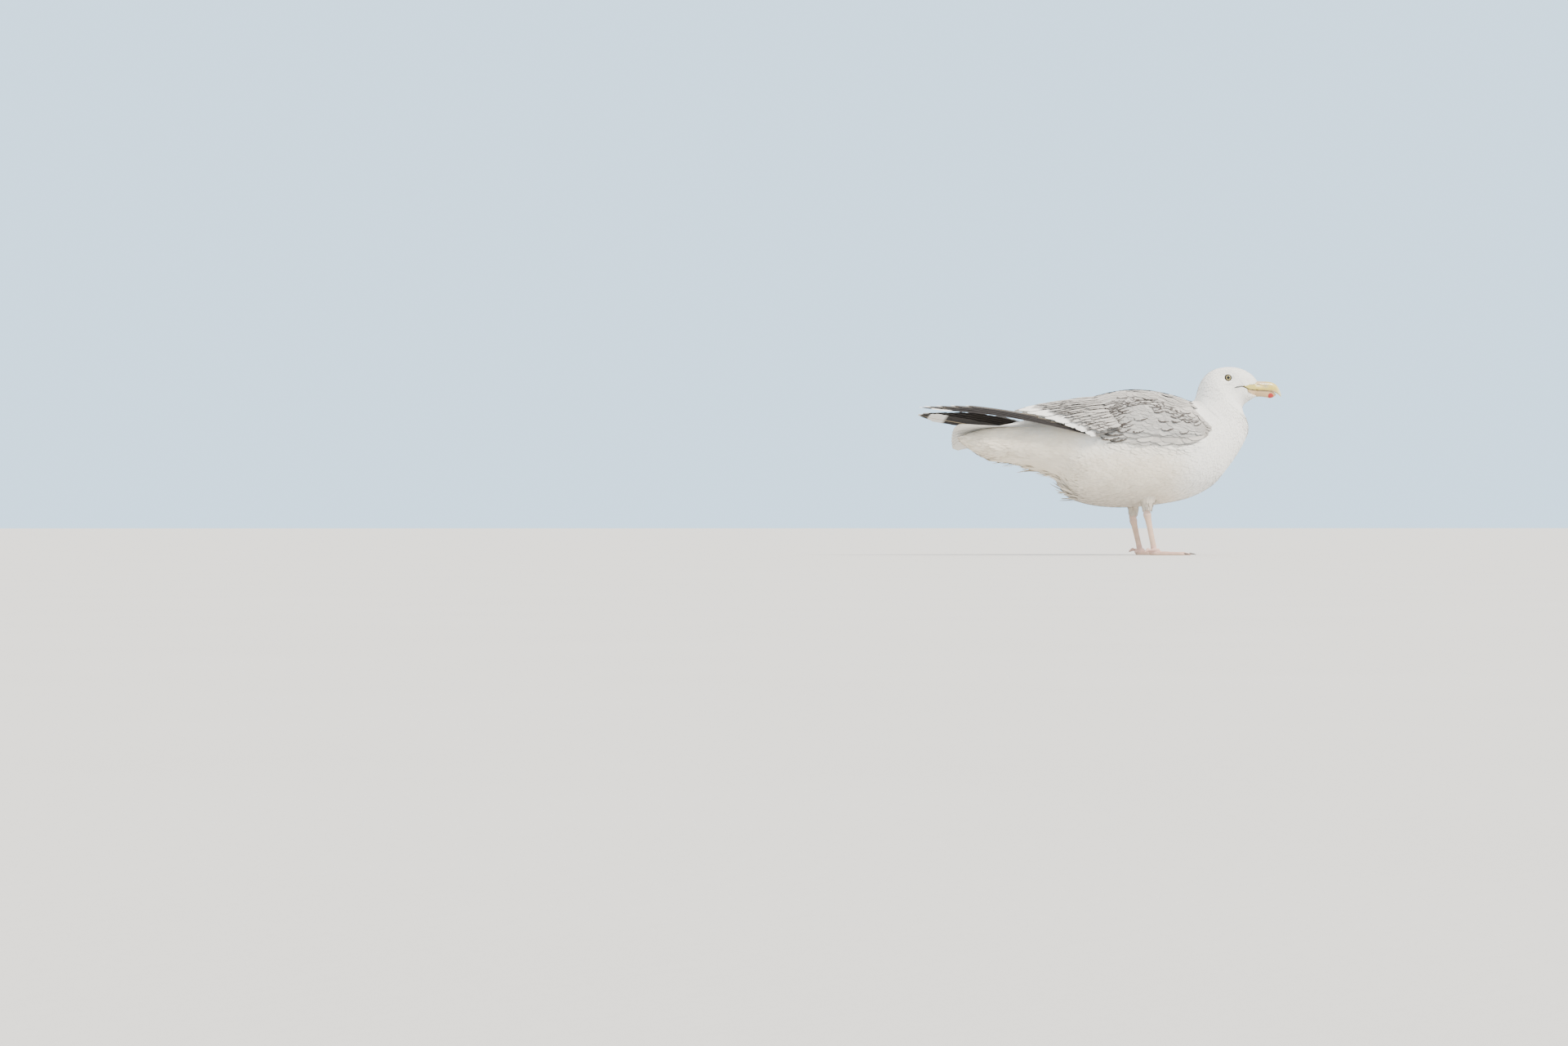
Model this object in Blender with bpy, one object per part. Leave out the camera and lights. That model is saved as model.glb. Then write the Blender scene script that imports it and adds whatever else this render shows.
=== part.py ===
"""A herring gull standing at rest, life size, as a still model in separate named solids.

Metres, +Z up, the bird faces +X and its left side is +Y. The floor is z = 0 and the origin
lies under the middle of the bird. Lengths in the tables below are in millimetres.
"""

import math
from typing import NamedTuple

import bmesh
import bpy
from mathutils import Vector

MM = 0.001
GAP = 0.4 * MM  # clearance between two solids that meet
MIDDLE_X = 1.56  # the middle of the bird from bill tip to wing tips, moved to x = 0
RIGHT, LEFT = -1, 1  # sign of Y on each side of the bird
SIDES = {"right": RIGHT, "left": LEFT}


class Section(NamedTuple):
    """One slice of the body, from a point on the back to the point below it on the belly."""

    back_x: float
    back_z: float
    belly_x: float
    belly_z: float
    half_width: float
    roundness: float  # exponent of the slice's outline: 2 is an ellipse, more is squarer


# The body from the under-tail coverts to the base of the bill.
SECTIONS = (
    Section(-194, 172, -193, 155, 16, 2.0),
    Section(-174, 179, -171, 140, 29, 2.1),
    Section(-150, 184, -148, 134, 35, 2.1),
    Section(-125, 189, -125, 130, 39, 2.1),
    Section(-100, 195, -103, 124, 43, 2.1),
    Section(-67, 204, -80, 116, 48, 2.1),
    Section(-35, 215, -58, 104, 55, 2.1),
    Section(-8, 225.5, -43, 82, 61, 2.1),
    Section(20, 233, -14, 71, 66, 2.1),
    Section(45, 235.5, 22, 67, 69, 2.1),
    Section(66, 235, 56, 68, 70, 2.1),
    Section(88, 232.5, 90, 72, 69, 2.1),
    Section(108, 227, 122, 78, 66, 2.1),
    Section(123, 223, 148, 88, 61, 2.1),
    Section(133, 222.5, 169, 102, 56, 2.1),
    Section(139, 223.5, 186, 122, 51, 2.05),
    Section(142, 227, 201, 142, 46, 2.0),
    Section(143.5, 232, 212, 161, 41.5, 2.0),
    Section(145, 238, 219, 178, 37.5, 2.0),
    Section(147, 244, 217, 193, 34, 2.0),
    Section(150.5, 251, 211, 204.5, 30.5, 2.0),
    Section(156.5, 258.5, 210, 212, 27.5, 2.05),
    Section(165, 265, 213.5, 216.8, 25.2, 2.1),
    Section(177, 269, 218, 220, 23.6, 2.15),
    Section(192, 270.5, 222, 222.7, 21.8, 2.2),
    Section(206, 268.6, 225.5, 224.8, 17.8, 2.2),
    Section(217, 264, 228.5, 226.3, 13.0, 2.2),
    Section(226, 257.5, 230.5, 227.3, 9.8, 2.2),
    Section(231.5, 250.5, 231.5, 228.2, 7.6, 2.2),
)
# Where the body is parted, as places along SECTIONS.
TAIL_COVERTS, LOINS, NECK_ROOT, JAW, BILL_ROOT = 0, 8, 15, 20, len(SECTIONS) - 1
RING_SIDES = 24
RINGS_PER_SECTION = 1.5
BELLY_SAG = 0.10  # how much wider a slice is below its middle than above it, over the trunk

EYE_X, EYE_Y, EYE_Z = 185.0, 14.6, 254.2
EYE_RADIUS = 7.4
ORBIT_DEPTH, ORBIT_SPREAD = 1.3, 9.5  # the shallow hollow round each eye
BROW_HEIGHT, BROW_SPREAD, BROW_RISE = 1.2, 7.0, 9.5
CHEEK_HEIGHT, CHEEK_SPREAD, CHEEK_DROP, CHEEK_BACK = 1.4, 13.0, 15.0, 8.0


def catmull_rom(a, b, c, d, f):
    """Value a share f of the way from b to c on a smooth curve through all four."""
    return b + 0.5 * f * (c - a + f * (2 * a - 5 * b + 4 * c - d + f * (3 * (b - c) + d - a)))


def section_at(place):
    """The slice at a place along SECTIONS, blended smoothly between its neighbours."""
    last = len(SECTIONS) - 1
    low = min(int(place), last - 1)
    four = [SECTIONS[max(0, min(last, low + k))] for k in (-1, 0, 1, 2)]
    return Section(*(catmull_rom(*values, place - low) for values in zip(*four)))


def bump(x, z, at_x, at_z, spread):
    """A smooth hill of height 1 at a point of the side view, in millimetres."""
    return math.exp(-((x - at_x) ** 2 + (z - at_z) ** 2) / spread**2)


def head_relief(x, z):
    """How far the side of the head stands out at a point: brow and cheek, less the orbit."""
    brow = BROW_HEIGHT * bump(x, z, EYE_X + 2, EYE_Z + BROW_RISE, BROW_SPREAD)
    cheek = CHEEK_HEIGHT * bump(x, z, EYE_X - CHEEK_BACK, EYE_Z - CHEEK_DROP, CHEEK_SPREAD)
    orbit = ORBIT_DEPTH * bump(x, z, EYE_X, EYE_Z, ORBIT_SPREAD)
    return brow + cheek - orbit


def signed_power(value, exponent):
    return math.copysign(abs(value) ** exponent, value)


def body_point(place, angle, side=RIGHT, out=0.0):
    """A point on the plumage's surface. Angle 0 is the back, 90 the side, 180 the belly.

    out moves it off the surface, in millimetres.
    """
    s = section_at(place)
    along = signed_power(math.cos(math.radians(angle)), 2 / s.roundness)
    across = signed_power(math.sin(math.radians(angle)), 2 / s.roundness)
    back, belly = Vector((s.back_x, 0, s.back_z)), Vector((s.belly_x, 0, s.belly_z))
    point = (back + belly) / 2 + (back - belly) / 2 * along
    trunk = max(0.0, min(1.0, (NECK_ROOT + 2 - place) / 4))
    width = s.half_width * (1 - BELLY_SAG * trunk * along)
    relief = head_relief(point.x, point.z) if place > JAW - 2 else 0.0
    point.y = side * across * (width + relief)
    if out:
        point += body_normal(place, angle, side) * out
    return point


def body_normal(place, angle, side):
    """The direction straight out of the plumage at a point."""
    step_along, step_round = 0.05, 1.0
    last = len(SECTIONS) - 1
    fore = body_point(min(last, place + step_along), angle, side)
    aft = body_point(max(0, place - step_along), angle, side)
    below = body_point(place, angle + step_round, side)
    above = body_point(place, angle - step_round, side)
    return side * (fore - aft).cross(below - above).normalized()


def material(name, colour, roughness, metallic=0.0):
    found = bpy.data.materials.get(name)
    if found:
        return found
    made = bpy.data.materials.new(name)
    made.use_nodes = True
    shader = made.node_tree.nodes["Principled BSDF"]
    shader.inputs["Base Color"].default_value = (*colour, 1.0)
    shader.inputs["Roughness"].default_value = roughness
    shader.inputs["Metallic"].default_value = metallic
    return made


FINISHES = {
    "white_plumage": ((0.87, 0.86, 0.82), 0.85),  # over flesh
    "loose_plumage": ((0.84, 0.83, 0.79), 0.9),  # over none
    "grey_plumage": ((0.55, 0.55, 0.55), 0.8),
    "black_plumage": ((0.05, 0.045, 0.045), 0.6),
    "bill_horn": ((0.78, 0.68, 0.25), 0.35),
    "leg_skin": ((0.76, 0.62, 0.57), 0.5),
    "claw_horn": ((0.06, 0.05, 0.05), 0.4),
    "eye": ((0.72, 0.66, 0.42), 0.1),
}


def new_object(name, points, faces, finish, smooth=True):
    """A closed solid from points in millimetres, its faces turned outwards."""
    mesh = bpy.data.meshes.new(name)
    shape = bmesh.new()
    corners = [shape.verts.new((Vector(p) - Vector((MIDDLE_X, 0, 0))) * MM) for p in points]
    for face in faces:
        shape.faces.new([corners[i] for i in face])
    bmesh.ops.recalc_face_normals(shape, faces=shape.faces)
    if shape.calc_volume(signed=True) < 0:
        bmesh.ops.reverse_faces(shape, faces=shape.faces)
    shape.to_mesh(mesh)
    shape.free()
    if smooth:
        mesh.shade_smooth()
        mesh.set_sharp_from_angle(angle=math.radians(40))
    mesh.materials.append(material(finish, *FINISHES[finish]))
    made = bpy.data.objects.new(name, mesh)
    bpy.context.scene.collection.objects.link(made)
    return made


def loft(rings):
    """(points, faces) of a closed solid through rings of equal count, capped by a fan at each end."""
    count = len(rings[0])
    points = [p for ring in rings for p in ring]
    faces = []
    for k in range(len(rings) - 1):
        for i in range(count):
            j = (i + 1) % count
            base, ahead = k * count, (k + 1) * count
            faces.append((base + i, base + j, ahead + j, ahead + i))
    for ring, start in ((rings[0], 0), (rings[-1], (len(rings) - 1) * count)):
        centre = sum((Vector(p) for p in ring), Vector()) / count
        points.append(centre)
        faces += [(start + i, start + (i + 1) % count, len(points) - 1) for i in range(count)]
    return points, faces


def slab(top, bottom):
    """(points, faces) of a closed sheet between two grids of equal size, rows along it."""
    rows, columns = len(top), len(top[0])
    points = [p for row in top for p in row] + [p for row in bottom for p in row]
    low = rows * columns
    faces = []
    for r in range(rows - 1):
        for c in range(columns - 1):
            a = r * columns + c
            quad = (a, a + 1, a + columns + 1, a + columns)
            faces += [quad, tuple(low + i for i in reversed(quad))]
    rim = [c for c in range(columns)]
    rim += [r * columns + columns - 1 for r in range(1, rows)]
    rim += [(rows - 1) * columns + c for c in range(columns - 2, -1, -1)]
    rim += [r * columns for r in range(rows - 2, 0, -1)]
    for here, ahead in zip(rim, rim[1:] + rim[:1]):
        faces.append((here, ahead, low + ahead, low + here))
    return points, faces


def cut(target, cutter):
    """Takes the cutter's solid out of the target, and keeps the cutter out of the model."""
    cutter.hide_render = True
    cutter.display_type = "WIRE"
    modifier = target.modifiers.new(f"less_{cutter.name}", "BOOLEAN")
    modifier.operation = "DIFFERENCE"
    modifier.solver = "EXACT"
    modifier.object = cutter


def join(target, added):
    """Makes the added solid one body with the target."""
    added.hide_render = True
    added.display_type = "WIRE"
    modifier = target.modifiers.new(f"with_{added.name}", "BOOLEAN")
    modifier.operation = "UNION"
    modifier.solver = "EXACT"
    modifier.object = added


# --- body -----------------------------------------------------------------------------------


def body_ring(place, out=0.0):
    turns = [360 * k / RING_SIDES for k in range(RING_SIDES)]
    return [body_point(place, turn, RIGHT, out) for turn in turns]


def body_length(name, start, end, finish="white_plumage", out=0.0):
    """The body between two places, set back from each end by half the gap."""
    count = round((end - start) * RINGS_PER_SECTION)
    rings = [body_ring(start + (end - start) * k / count, out) for k in range(count + 1)]
    for ring, inner in ((rings[0], rings[1]), (rings[-1], rings[-2])):
        for i, point in enumerate(ring):
            inwards = inner[i] - point
            ring[i] = point + inwards.normalized() * (0.5 * GAP / MM + 0.1)
    return new_object(name, *loft(rings), finish)


# --- bill -----------------------------------------------------------------------------------

# Stations along the bill: x, z of its upper line, z of its lower line, half width.
UPPER_BILL = (
    (208, 241.8, 239.2, 15.2),
    (214, 243.6, 237.8, 14.6),
    (220, 246.0, 237.0, 12.8),
    (226, 248.4, 236.8, 10.8),
    (232, 249.8, 236.8, 9.0),
    (239, 249.8, 236.7, 7.5),
    (247, 249.6, 236.0, 6.2),
    (254, 248.6, 234.9, 5.2),
    (260, 245.4, 233.2, 4.2),
    (264, 240.4, 230.9, 3.1),
    (266.3, 235.0, 228.6, 2.1),
    (267.5, 230.4, 227.8, 1.0),
)
LOWER_BILL = (
    (212, 237.2, 231.0, 10.0),
    (218, 236.3, 228.4, 11.2),
    (224, 235.9, 227.4, 10.2),
    (231, 235.8, 227.2, 8.2),
    (238, 235.4, 227.2, 6.5),
    (246, 234.7, 226.2, 5.2),
    (251, 234.0, 225.4, 4.4),
    (255.5, 232.8, 226.6, 3.4),
    (258.8, 231.0, 228.6, 1.8),
)
BILL_SIDES = 5  # points on each side of a slice


def bill_half(name, stations, ridge_up, clearance=0.0):
    """One half of the bill: flat along the cutting edge, round on its other side."""
    rings = []
    last = len(stations) - 1
    for k in range(2 * last + 1):
        low = min(k // 2, last - 1)
        four = [stations[max(0, min(last, low + j))] for j in (-1, 0, 1, 2)]
        x, top, bottom, half = (catmull_rom(*v, k / 2 - low) for v in zip(*four))
        edge, ridge = (bottom, top) if ridge_up else (top, bottom)
        grow = clearance if ridge_up else -clearance
        edge, ridge, half = edge - grow, ridge + grow, half + clearance
        ring = []
        for i in range(BILL_SIDES * 2):
            turn = math.pi * i / (BILL_SIDES * 2 - 1)
            side = half * signed_power(math.cos(turn), 0.85)
            rise = (ridge - edge) * math.sin(turn) ** 0.9
            ring.append(Vector((x, side, edge + rise)))
        rings.append(ring)
    return new_object(name, *loft(rings), "bill_horn")


def ball(name, centre, radius, finish, sides=14, rows=9):
    """A sphere turned about Y, so that its poles face the sides."""
    rings = []
    for r in range(1, rows):
        tilt = math.pi * r / rows
        y, reach = -radius * math.cos(tilt), radius * math.sin(tilt)
        turns = [2 * math.pi * k / sides for k in range(sides)]
        rings.append(
            [centre + Vector((reach * math.cos(a), y, reach * math.sin(a))) for a in turns]
        )
    points, faces = loft(rings)
    points[-2] = centre + Vector((0, -radius, 0))
    points[-1] = centre + Vector((0, radius, 0))
    return new_object(name, points, faces, finish)


def build_body():
    body_length("neck", NECK_ROOT, JAW)
    head = body_length("head", JAW, BILL_ROOT)
    for side_name, side in SIDES.items():
        centre = Vector((EYE_X, side * EYE_Y, EYE_Z))
        ball(f"eye_{side_name}", centre, EYE_RADIUS, "eye")
        cut(head, ball(f"socket_{side_name}", centre, EYE_RADIUS + GAP / MM, "white_plumage"))
    bill_half("bill_upper", UPPER_BILL, ridge_up=True)
    bill_half("bill_lower", LOWER_BILL, ridge_up=False)
    cut(head, bill_half("bill_upper_seat", UPPER_BILL, True, clearance=GAP / MM))
    cut(head, bill_half("bill_lower_seat", LOWER_BILL, False, clearance=GAP / MM))
    body_length("trunk", LOINS, NECK_ROOT)
    return body_length("rump", TAIL_COVERTS, LOINS, "loose_plumage")


# --- plumage that lies on the body ----------------------------------------------------------

COVER_CLEAR = 0.7  # between the body and a panel of feathers on it


def panel(name, places, upper, lower, depth, side, finish="grey_plumage"):
    """A panel of feathers on the side of the body.

    upper and lower give its edges in degrees round the body at each place along it, and
    depth is its thickness in the middle.
    """
    rows, columns = 10, 6
    top, bottom = [], []
    for r in range(rows):
        share = r / (rows - 1)
        place = places[0] + (places[1] - places[0]) * share
        first, final = upper(place), lower(place)
        outer, inner = [], []
        for c in range(columns):
            across = c / (columns - 1)
            turn = first + (final - first) * across
            swell = math.sin(math.pi * across) ** 0.6 * math.sin(math.pi * share) ** 0.5
            thick = 1.0 + (depth - 1.0) * swell
            inner.append(body_point(place, turn, side, COVER_CLEAR))
            outer.append(body_point(place, turn, side, COVER_CLEAR + thick))
        top.append(outer)
        bottom.append(inner)
    return new_object(name, *slab(top, bottom), finish)


WING_REAR, WING_FRONT = 7.2, 14.6  # places along the body
COVERTS_REAR, GREATER_REAR = 7.8, 8.6
SCAPULARS_FRONT, GREATER_FRONT = 14.0, 13.6


def wing_line(*stops):
    """A smooth line along the wing, from its angle round the body at evenly spaced stops."""

    def angle(place):
        last = len(stops) - 1
        along = last * min(1.0, (place - WING_REAR) / (WING_FRONT - WING_REAR))
        low = min(int(along), last - 1)
        four = [stops[max(0, min(last, low + k))] for k in (-1, 0, 1, 2)]
        return catmull_rom(*four, along - low)

    return angle


SCAPULAR_LINE = wing_line(28, 32, 37, 44, 53, 65)  # where the scapulars end, rear to front
COVERT_LINE = wing_line(73, 75, 76, 76, 76, 79)
WING_EDGE = wing_line(80, 84, 85, 86, 85, 82)
BACK_LINE = wing_line(1, 1)
LINE_GAP = 0.5  # degrees


def below(line):
    """The line just under another."""
    return lambda place: line(place) + LINE_GAP


def build_panels():
    scapulars = (WING_REAR, SCAPULARS_FRONT)
    coverts = (COVERTS_REAR, WING_FRONT)
    greater = (GREATER_REAR, GREATER_FRONT)
    for name, side in SIDES.items():
        panel(f"scapulars_{name}", scapulars, BACK_LINE, SCAPULAR_LINE, 4.5, side)
        panel(f"wing_coverts_{name}", coverts, below(SCAPULAR_LINE), COVERT_LINE, 7.0, side)
        panel(f"greater_coverts_{name}", greater, below(COVERT_LINE), WING_EDGE, 5.0, side)


# --- feathers that stand clear of the body --------------------------------------------------


class Blade(NamedTuple):
    """A long feather, or a stack of them, as a thin curved plate."""

    root: tuple
    tip: tuple
    width: float
    roll: float  # how far its outer edge hangs below its inner edge, in degrees
    arch: float  # how far its middle stands above its ends
    thickness: float
    blunt: float = 0.12  # share of its length that the round tip takes
    start: float = 0.0  # the shares of the line from root to tip that it covers
    end: float = 1.0


def blade_width(blade, share):
    """Half the feather's width at a share of its length."""
    shoulder = 0.62 + 0.38 * math.sin(min(1.0, share / 0.35) * math.pi / 2)
    over = max(0.0, (share - (1 - blade.blunt)) / blade.blunt)
    return 0.5 * blade.width * shoulder * max(0.16, math.sqrt(max(0.0, 1 - over**2)))


def blade_grids(blade, side, rows=9, columns=4):
    """The two faces of a feather's plate, root to tip and inner to outer edge."""
    root = Vector((blade.root[0], side * blade.root[1], blade.root[2]))
    tip = Vector((blade.tip[0], side * blade.tip[1], blade.tip[2]))
    along = (tip - root).normalized()
    level = along.cross(Vector((0, 0, 1))).normalized()
    outwards = level if level.y * side > 0 else -level
    up = outwards.cross(along)
    up = up if up.z > 0 else -up
    roll = math.radians(blade.roll)
    across = outwards * math.cos(roll) - up * math.sin(roll)
    normal = up * math.cos(roll) + outwards * math.sin(roll)
    top, bottom = [], []
    for r in range(rows):
        share = r / (rows - 1)
        on_line = blade.start + (blade.end - blade.start) * share
        centre = root.lerp(tip, on_line) + up * blade.arch * math.sin(math.pi * on_line)
        half = blade_width(blade, share)
        upper, lower = [], []
        for c in range(columns):
            place = 2 * c / (columns - 1) - 1
            point = centre + across * half * place - normal * 0.05 * half * place**2
            upper.append(point + normal * blade.thickness / 2)
            lower.append(point - normal * blade.thickness / 2)
        top.append(upper)
        bottom.append(lower)
    return top, bottom


TERTIALS = (  # from the longest, next to the back, to the secondaries low on the side
    Blade((-5, 17, 226.5), (-120, 16.5, 207), 26, 18, 1.5, 1.5, 0.2),
    Blade((-2, 41, 218), (-96, 39.5, 199.5), 22, 30, 1.5, 1.5, 0.22),
    Blade((2, 59, 205.5), (-66, 57, 188), 20, 50, 1, 1.5, 0.25),
    Blade((14, 71, 188), (-34, 68.5, 174.5), 20, 66, 1, 1.5, 0.3),
)
PRIMARY_COUNT = 5  # the outer ones, which show beyond the tertials


class Hand(NamedTuple):
    """Where the outermost primary of one wing lies; the others are stacked on it."""

    root: tuple
    tip: tuple
    roll: float
    arch: float


HANDS = {
    "right": Hand((-26, 63, 172.5), (-264, 17, 210.5), 10, 8),
    "left": Hand((-40, 63, 161), (-259, 22, 201), 34, 3),
}
PRIMARY_WIDTH = 19
PRIMARY_THICKNESS = 0.7
STACK_RISE, STACK_INWARD = 1.3, 3.0
TIP_STEPS = (0, 7, 25, 46, 68)  # how far each tip falls short of the longest
ROOT_STEP = 18  # and each root of the one outside it


def build_feathers():
    for name, side in SIDES.items():
        for k, tertial in enumerate(TERTIALS):
            grids = blade_grids(tertial, side)
            new_object(f"tertial_{name}_{k + 1}", *slab(*grids), "grey_plumage")
        hand = HANDS[name]
        root, tip = Vector(hand.root), Vector(hand.tip)
        roll = math.radians(hand.roll)
        rise = Vector((0, math.sin(roll), math.cos(roll))) * STACK_RISE
        inward = Vector((0, -math.cos(roll), math.sin(roll))) * STACK_INWARD
        for k in range(PRIMARY_COUNT):
            shift = (rise + inward) * k
            feather = Blade(
                tuple(root + shift),
                tuple(tip + shift),
                PRIMARY_WIDTH,
                hand.roll,
                hand.arch,
                PRIMARY_THICKNESS,
                start=ROOT_STEP * k / (tip - root).length,
                end=1 - TIP_STEPS[k] / (tip - root).length,
            )
            solid = slab(*blade_grids(feather, side, rows=9, columns=3))
            new_object(f"primary_{name}_{10 - k}", *solid, "black_plumage")


# --- tail -----------------------------------------------------------------------------------

TAIL_ROOT_X, TAIL_TIP_X = -62, -212
TAIL_ROOT_Z, TAIL_TIP_Z = 186, 175
TAIL_ROOT_HALF, TAIL_TIP_HALF = 17, 42
TAIL_ARCH = 11  # how far its edges hang below its middle at the tip
TAIL_ROLL = 14  # degrees, its right edge up
TAIL_CORNER = 9  # how far its corners fall short of its middle
TAIL_THICK_ROOT, TAIL_THICK_TIP = 5.0, 1.2


def tail_grids(clearance=0.0):
    rows, columns = 9, 11
    top, bottom = [], []
    for r in range(rows):
        share = r / (rows - 1)
        half = TAIL_ROOT_HALF + (TAIL_TIP_HALF - TAIL_ROOT_HALF) * share**0.8 + clearance
        middle_z = TAIL_ROOT_Z + (TAIL_TIP_Z - TAIL_ROOT_Z) * share
        thick = TAIL_THICK_ROOT + (TAIL_THICK_TIP - TAIL_THICK_ROOT) * share + 2 * clearance
        roll = math.radians(TAIL_ROLL) * share
        upper, lower = [], []
        for c in range(columns):
            place = 2 * c / (columns - 1) - 1
            short = TAIL_CORNER * abs(place) ** 2.2
            x = TAIL_ROOT_X + (TAIL_TIP_X + short - TAIL_ROOT_X) * share
            if clearance:
                x += clearance if r == 0 else -clearance if r == rows - 1 else 0
            y = half * place * math.cos(roll)
            z = middle_z - TAIL_ARCH * share * place**2 - half * place * math.sin(roll)
            upper.append(Vector((x, y, z + thick / 2)))
            lower.append(Vector((x, y, z - thick / 2)))
        top.append(upper)
        bottom.append(lower)
    return top, bottom


def build_tail(rump):
    new_object("tail", *slab(*tail_grids()), "loose_plumage")
    cut(rump, new_object("tail_seat", *slab(*tail_grids(GAP / MM)), "white_plumage"))


# --- legs -----------------------------------------------------------------------------------


class Leg(NamedTuple):
    """The joints of one leg, as x, distance from the middle and z."""

    knee: tuple
    ankle: tuple
    foot: tuple
    turn: float  # how far the toes point outwards, in degrees


LEGS = {
    "right": Leg((67, 31, 98), (63, 31, 62), (73.5, 32, 9), 8),
    "left": Leg((59, 31, 94), (56.5, 31, 53), (67, 32, 9), 6),
}
LEG_SIDES = 10


def tube(points, radii, flatten=1.0, sides=LEG_SIDES):
    """Rings across a bent line; flatten is the width over the depth."""
    rings = []
    for k, (point, radius) in enumerate(zip(points, radii)):
        ahead = points[min(k + 1, len(points) - 1)]
        behind = points[max(k - 1, 0)]
        along = (ahead - behind).normalized()
        side = Vector((0, 1, 0))
        fore = side.cross(along).normalized()
        side = along.cross(fore).normalized()
        turns = [2 * math.pi * i / sides for i in range(sides)]
        ring = [
            point + side * radius * flatten * math.sin(a) + fore * radius * math.cos(a)
            for a in turns
        ]
        rings.append(ring)
    return rings


class Toe(NamedTuple):
    name: str
    turn: float  # outwards from the middle toe, in degrees
    length: float  # from the back of the pad to the claw
    radius: float


TOES = (Toe("inner", -25, 50, 2.6), Toe("middle", 0, 60, 2.9), Toe("outer", 24, 55, 2.6))
PAD_BACK = 8  # the toes fan out from this far behind the shank
FLAT_SHARE = 0.62  # of a toe's width that stands on the floor
TOE_COLUMNS = ((-1.0, 0.30, 0.30), (-0.62, 0.80, 0.0), (0.0, 1.0, 0.0), (0.62, 0.80, 0.0), (1.0, 0.30, 0.30))
WEB_TOP, WEB_BOTTOM = 2.2, 1.1
WEB_COLUMNS = (0.3, 0.7)
WEB_HOLLOW = 0.2  # how far its front edge is drawn back between two toes
CLAW_LENGTH = 8
HIND_TOE_LENGTH = 7


def heading_of(turn):
    return Vector((math.cos(math.radians(turn)), math.sin(math.radians(turn)), 0))


def toe_column(origin, heading, toe, column, rows):
    """Top and bottom points along one toe at one place across it."""
    place, top_share, bottom_share = column
    side = Vector((-heading.y, heading.x, 0))
    line = []
    for r in range(rows):
        share = r / (rows - 1)
        reach = 3 + (toe.length - 3) * share
        swell = 1 + 0.1 * math.cos(2 * math.pi * 2.5 * share)
        girth = toe.radius * (1 - 0.35 * share) * swell
        half = min(girth, 0.18 * reach)
        end = 0.55 if r == rows - 1 else 1.0
        centre = origin + heading * reach + side * half * end * place
        top = Vector((centre.x, centre.y, 2 * girth * top_share * end + 0.35))
        bottom = Vector((centre.x, centre.y, 2 * girth * bottom_share * end))
        line.append((top, bottom))
    return line


def foot_grids(origin, facing, side, rows=7):
    """The two faces of the foot as one sheet: three toes and the webs between them."""
    columns = []
    for k, toe in enumerate(TOES):
        heading = heading_of(facing + side * toe.turn)
        for column in TOE_COLUMNS:
            place = (side * column[0],) + column[1:]
            columns.append(toe_column(origin, heading, toe, place, rows))
        if k < len(TOES) - 1:
            ahead = TOES[k + 1]
            next_heading = heading_of(facing + side * ahead.turn)
            near = columns[-1]
            far = toe_column(origin, next_heading, ahead, (-side, 0.3, 0.3), rows)
            for across in WEB_COLUMNS:
                line = []
                hollow = 1 - WEB_HOLLOW * math.sin(math.pi * across)
                for (near_top, _), (far_top, _) in zip(near, far):
                    edge = near_top.lerp(far_top, across) - origin
                    point = origin + edge * hollow
                    line.append(
                        (Vector((point.x, point.y, WEB_TOP)), Vector((point.x, point.y, WEB_BOTTOM)))
                    )
                columns.append(line)
    top = [[column[r][0] for column in columns] for r in range(rows)]
    bottom = [[column[r][1] for column in columns] for r in range(rows)]
    return top, bottom


def claw_solid(name, start, heading, length, radius, rise):
    """A curved claw that ends in a point near the floor."""
    points, radii = [], []
    count = 5
    for k in range(count):
        share = k / (count - 1)
        drop = Vector((0, 0, rise * (1 - share**1.6)))
        points.append(start + heading * length * share + drop)
        radii.append(radius * (1 - 0.75 * share))
    return new_object(name, *loft(tube(points, radii, 0.7, sides=6)), "claw_horn")


def build_foot(name, side, leg):
    hub = Vector((leg.foot[0], side * leg.foot[1], 0))
    facing = side * leg.turn
    origin = hub - heading_of(facing) * PAD_BACK
    foot = new_object(f"foot_{name}", *slab(*foot_grids(origin, facing, side)), "leg_skin")
    for toe in TOES:
        heading = heading_of(facing + side * toe.turn)
        start = origin + heading * (toe.length + GAP / MM) + Vector((0, 0, 0.9))
        claw_solid(f"claw_{name}_{toe.name}", start, heading, CLAW_LENGTH, 1.2, 1.3)
    back = heading_of(facing + 180 - side * 30)
    hind = hub + back * (8.5 + GAP / MM) + Vector((0, 0, 8.5))
    steps = [k / 4 for k in range(5)]
    line = [hind + back * HIND_TOE_LENGTH * s - Vector((0, 0, 4 * s**1.5)) for s in steps]
    new_object(f"hind_toe_{name}", *loft(tube(line, [2.2, 2.1, 1.8, 1.4, 0.7])), "leg_skin")
    return foot


KNOB = ((-7, 3.4, 2.2), (-4.5, 4.6, 4.0), (0, 5.6, 4.6), (4, 4.8, 4.0), (10, 3.2, 2.4))  # x, z, radius
TARSUS = ((0.08, 5.9), (0.22, 4.5), (0.5, 3.9), (0.8, 3.9), (0.93, 4.2), (1.0, 4.0))  # share, radius
TARSUS_FOOT_Z = 8.5
TIBIA_RADII = (13, 10.0, 8.0, 6.9, 6.0, 5.4)


def knob_solid(name, hub, facing, clearance=0.0):
    """The joint on top of the foot, where the toes meet the shank."""
    ahead = heading_of(facing)
    line = [hub + ahead * x + Vector((0, 0, z)) for x, z, _ in KNOB]
    return new_object(name, *loft(tube(line, [r + clearance for _, _, r in KNOB])), "leg_skin")


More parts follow.
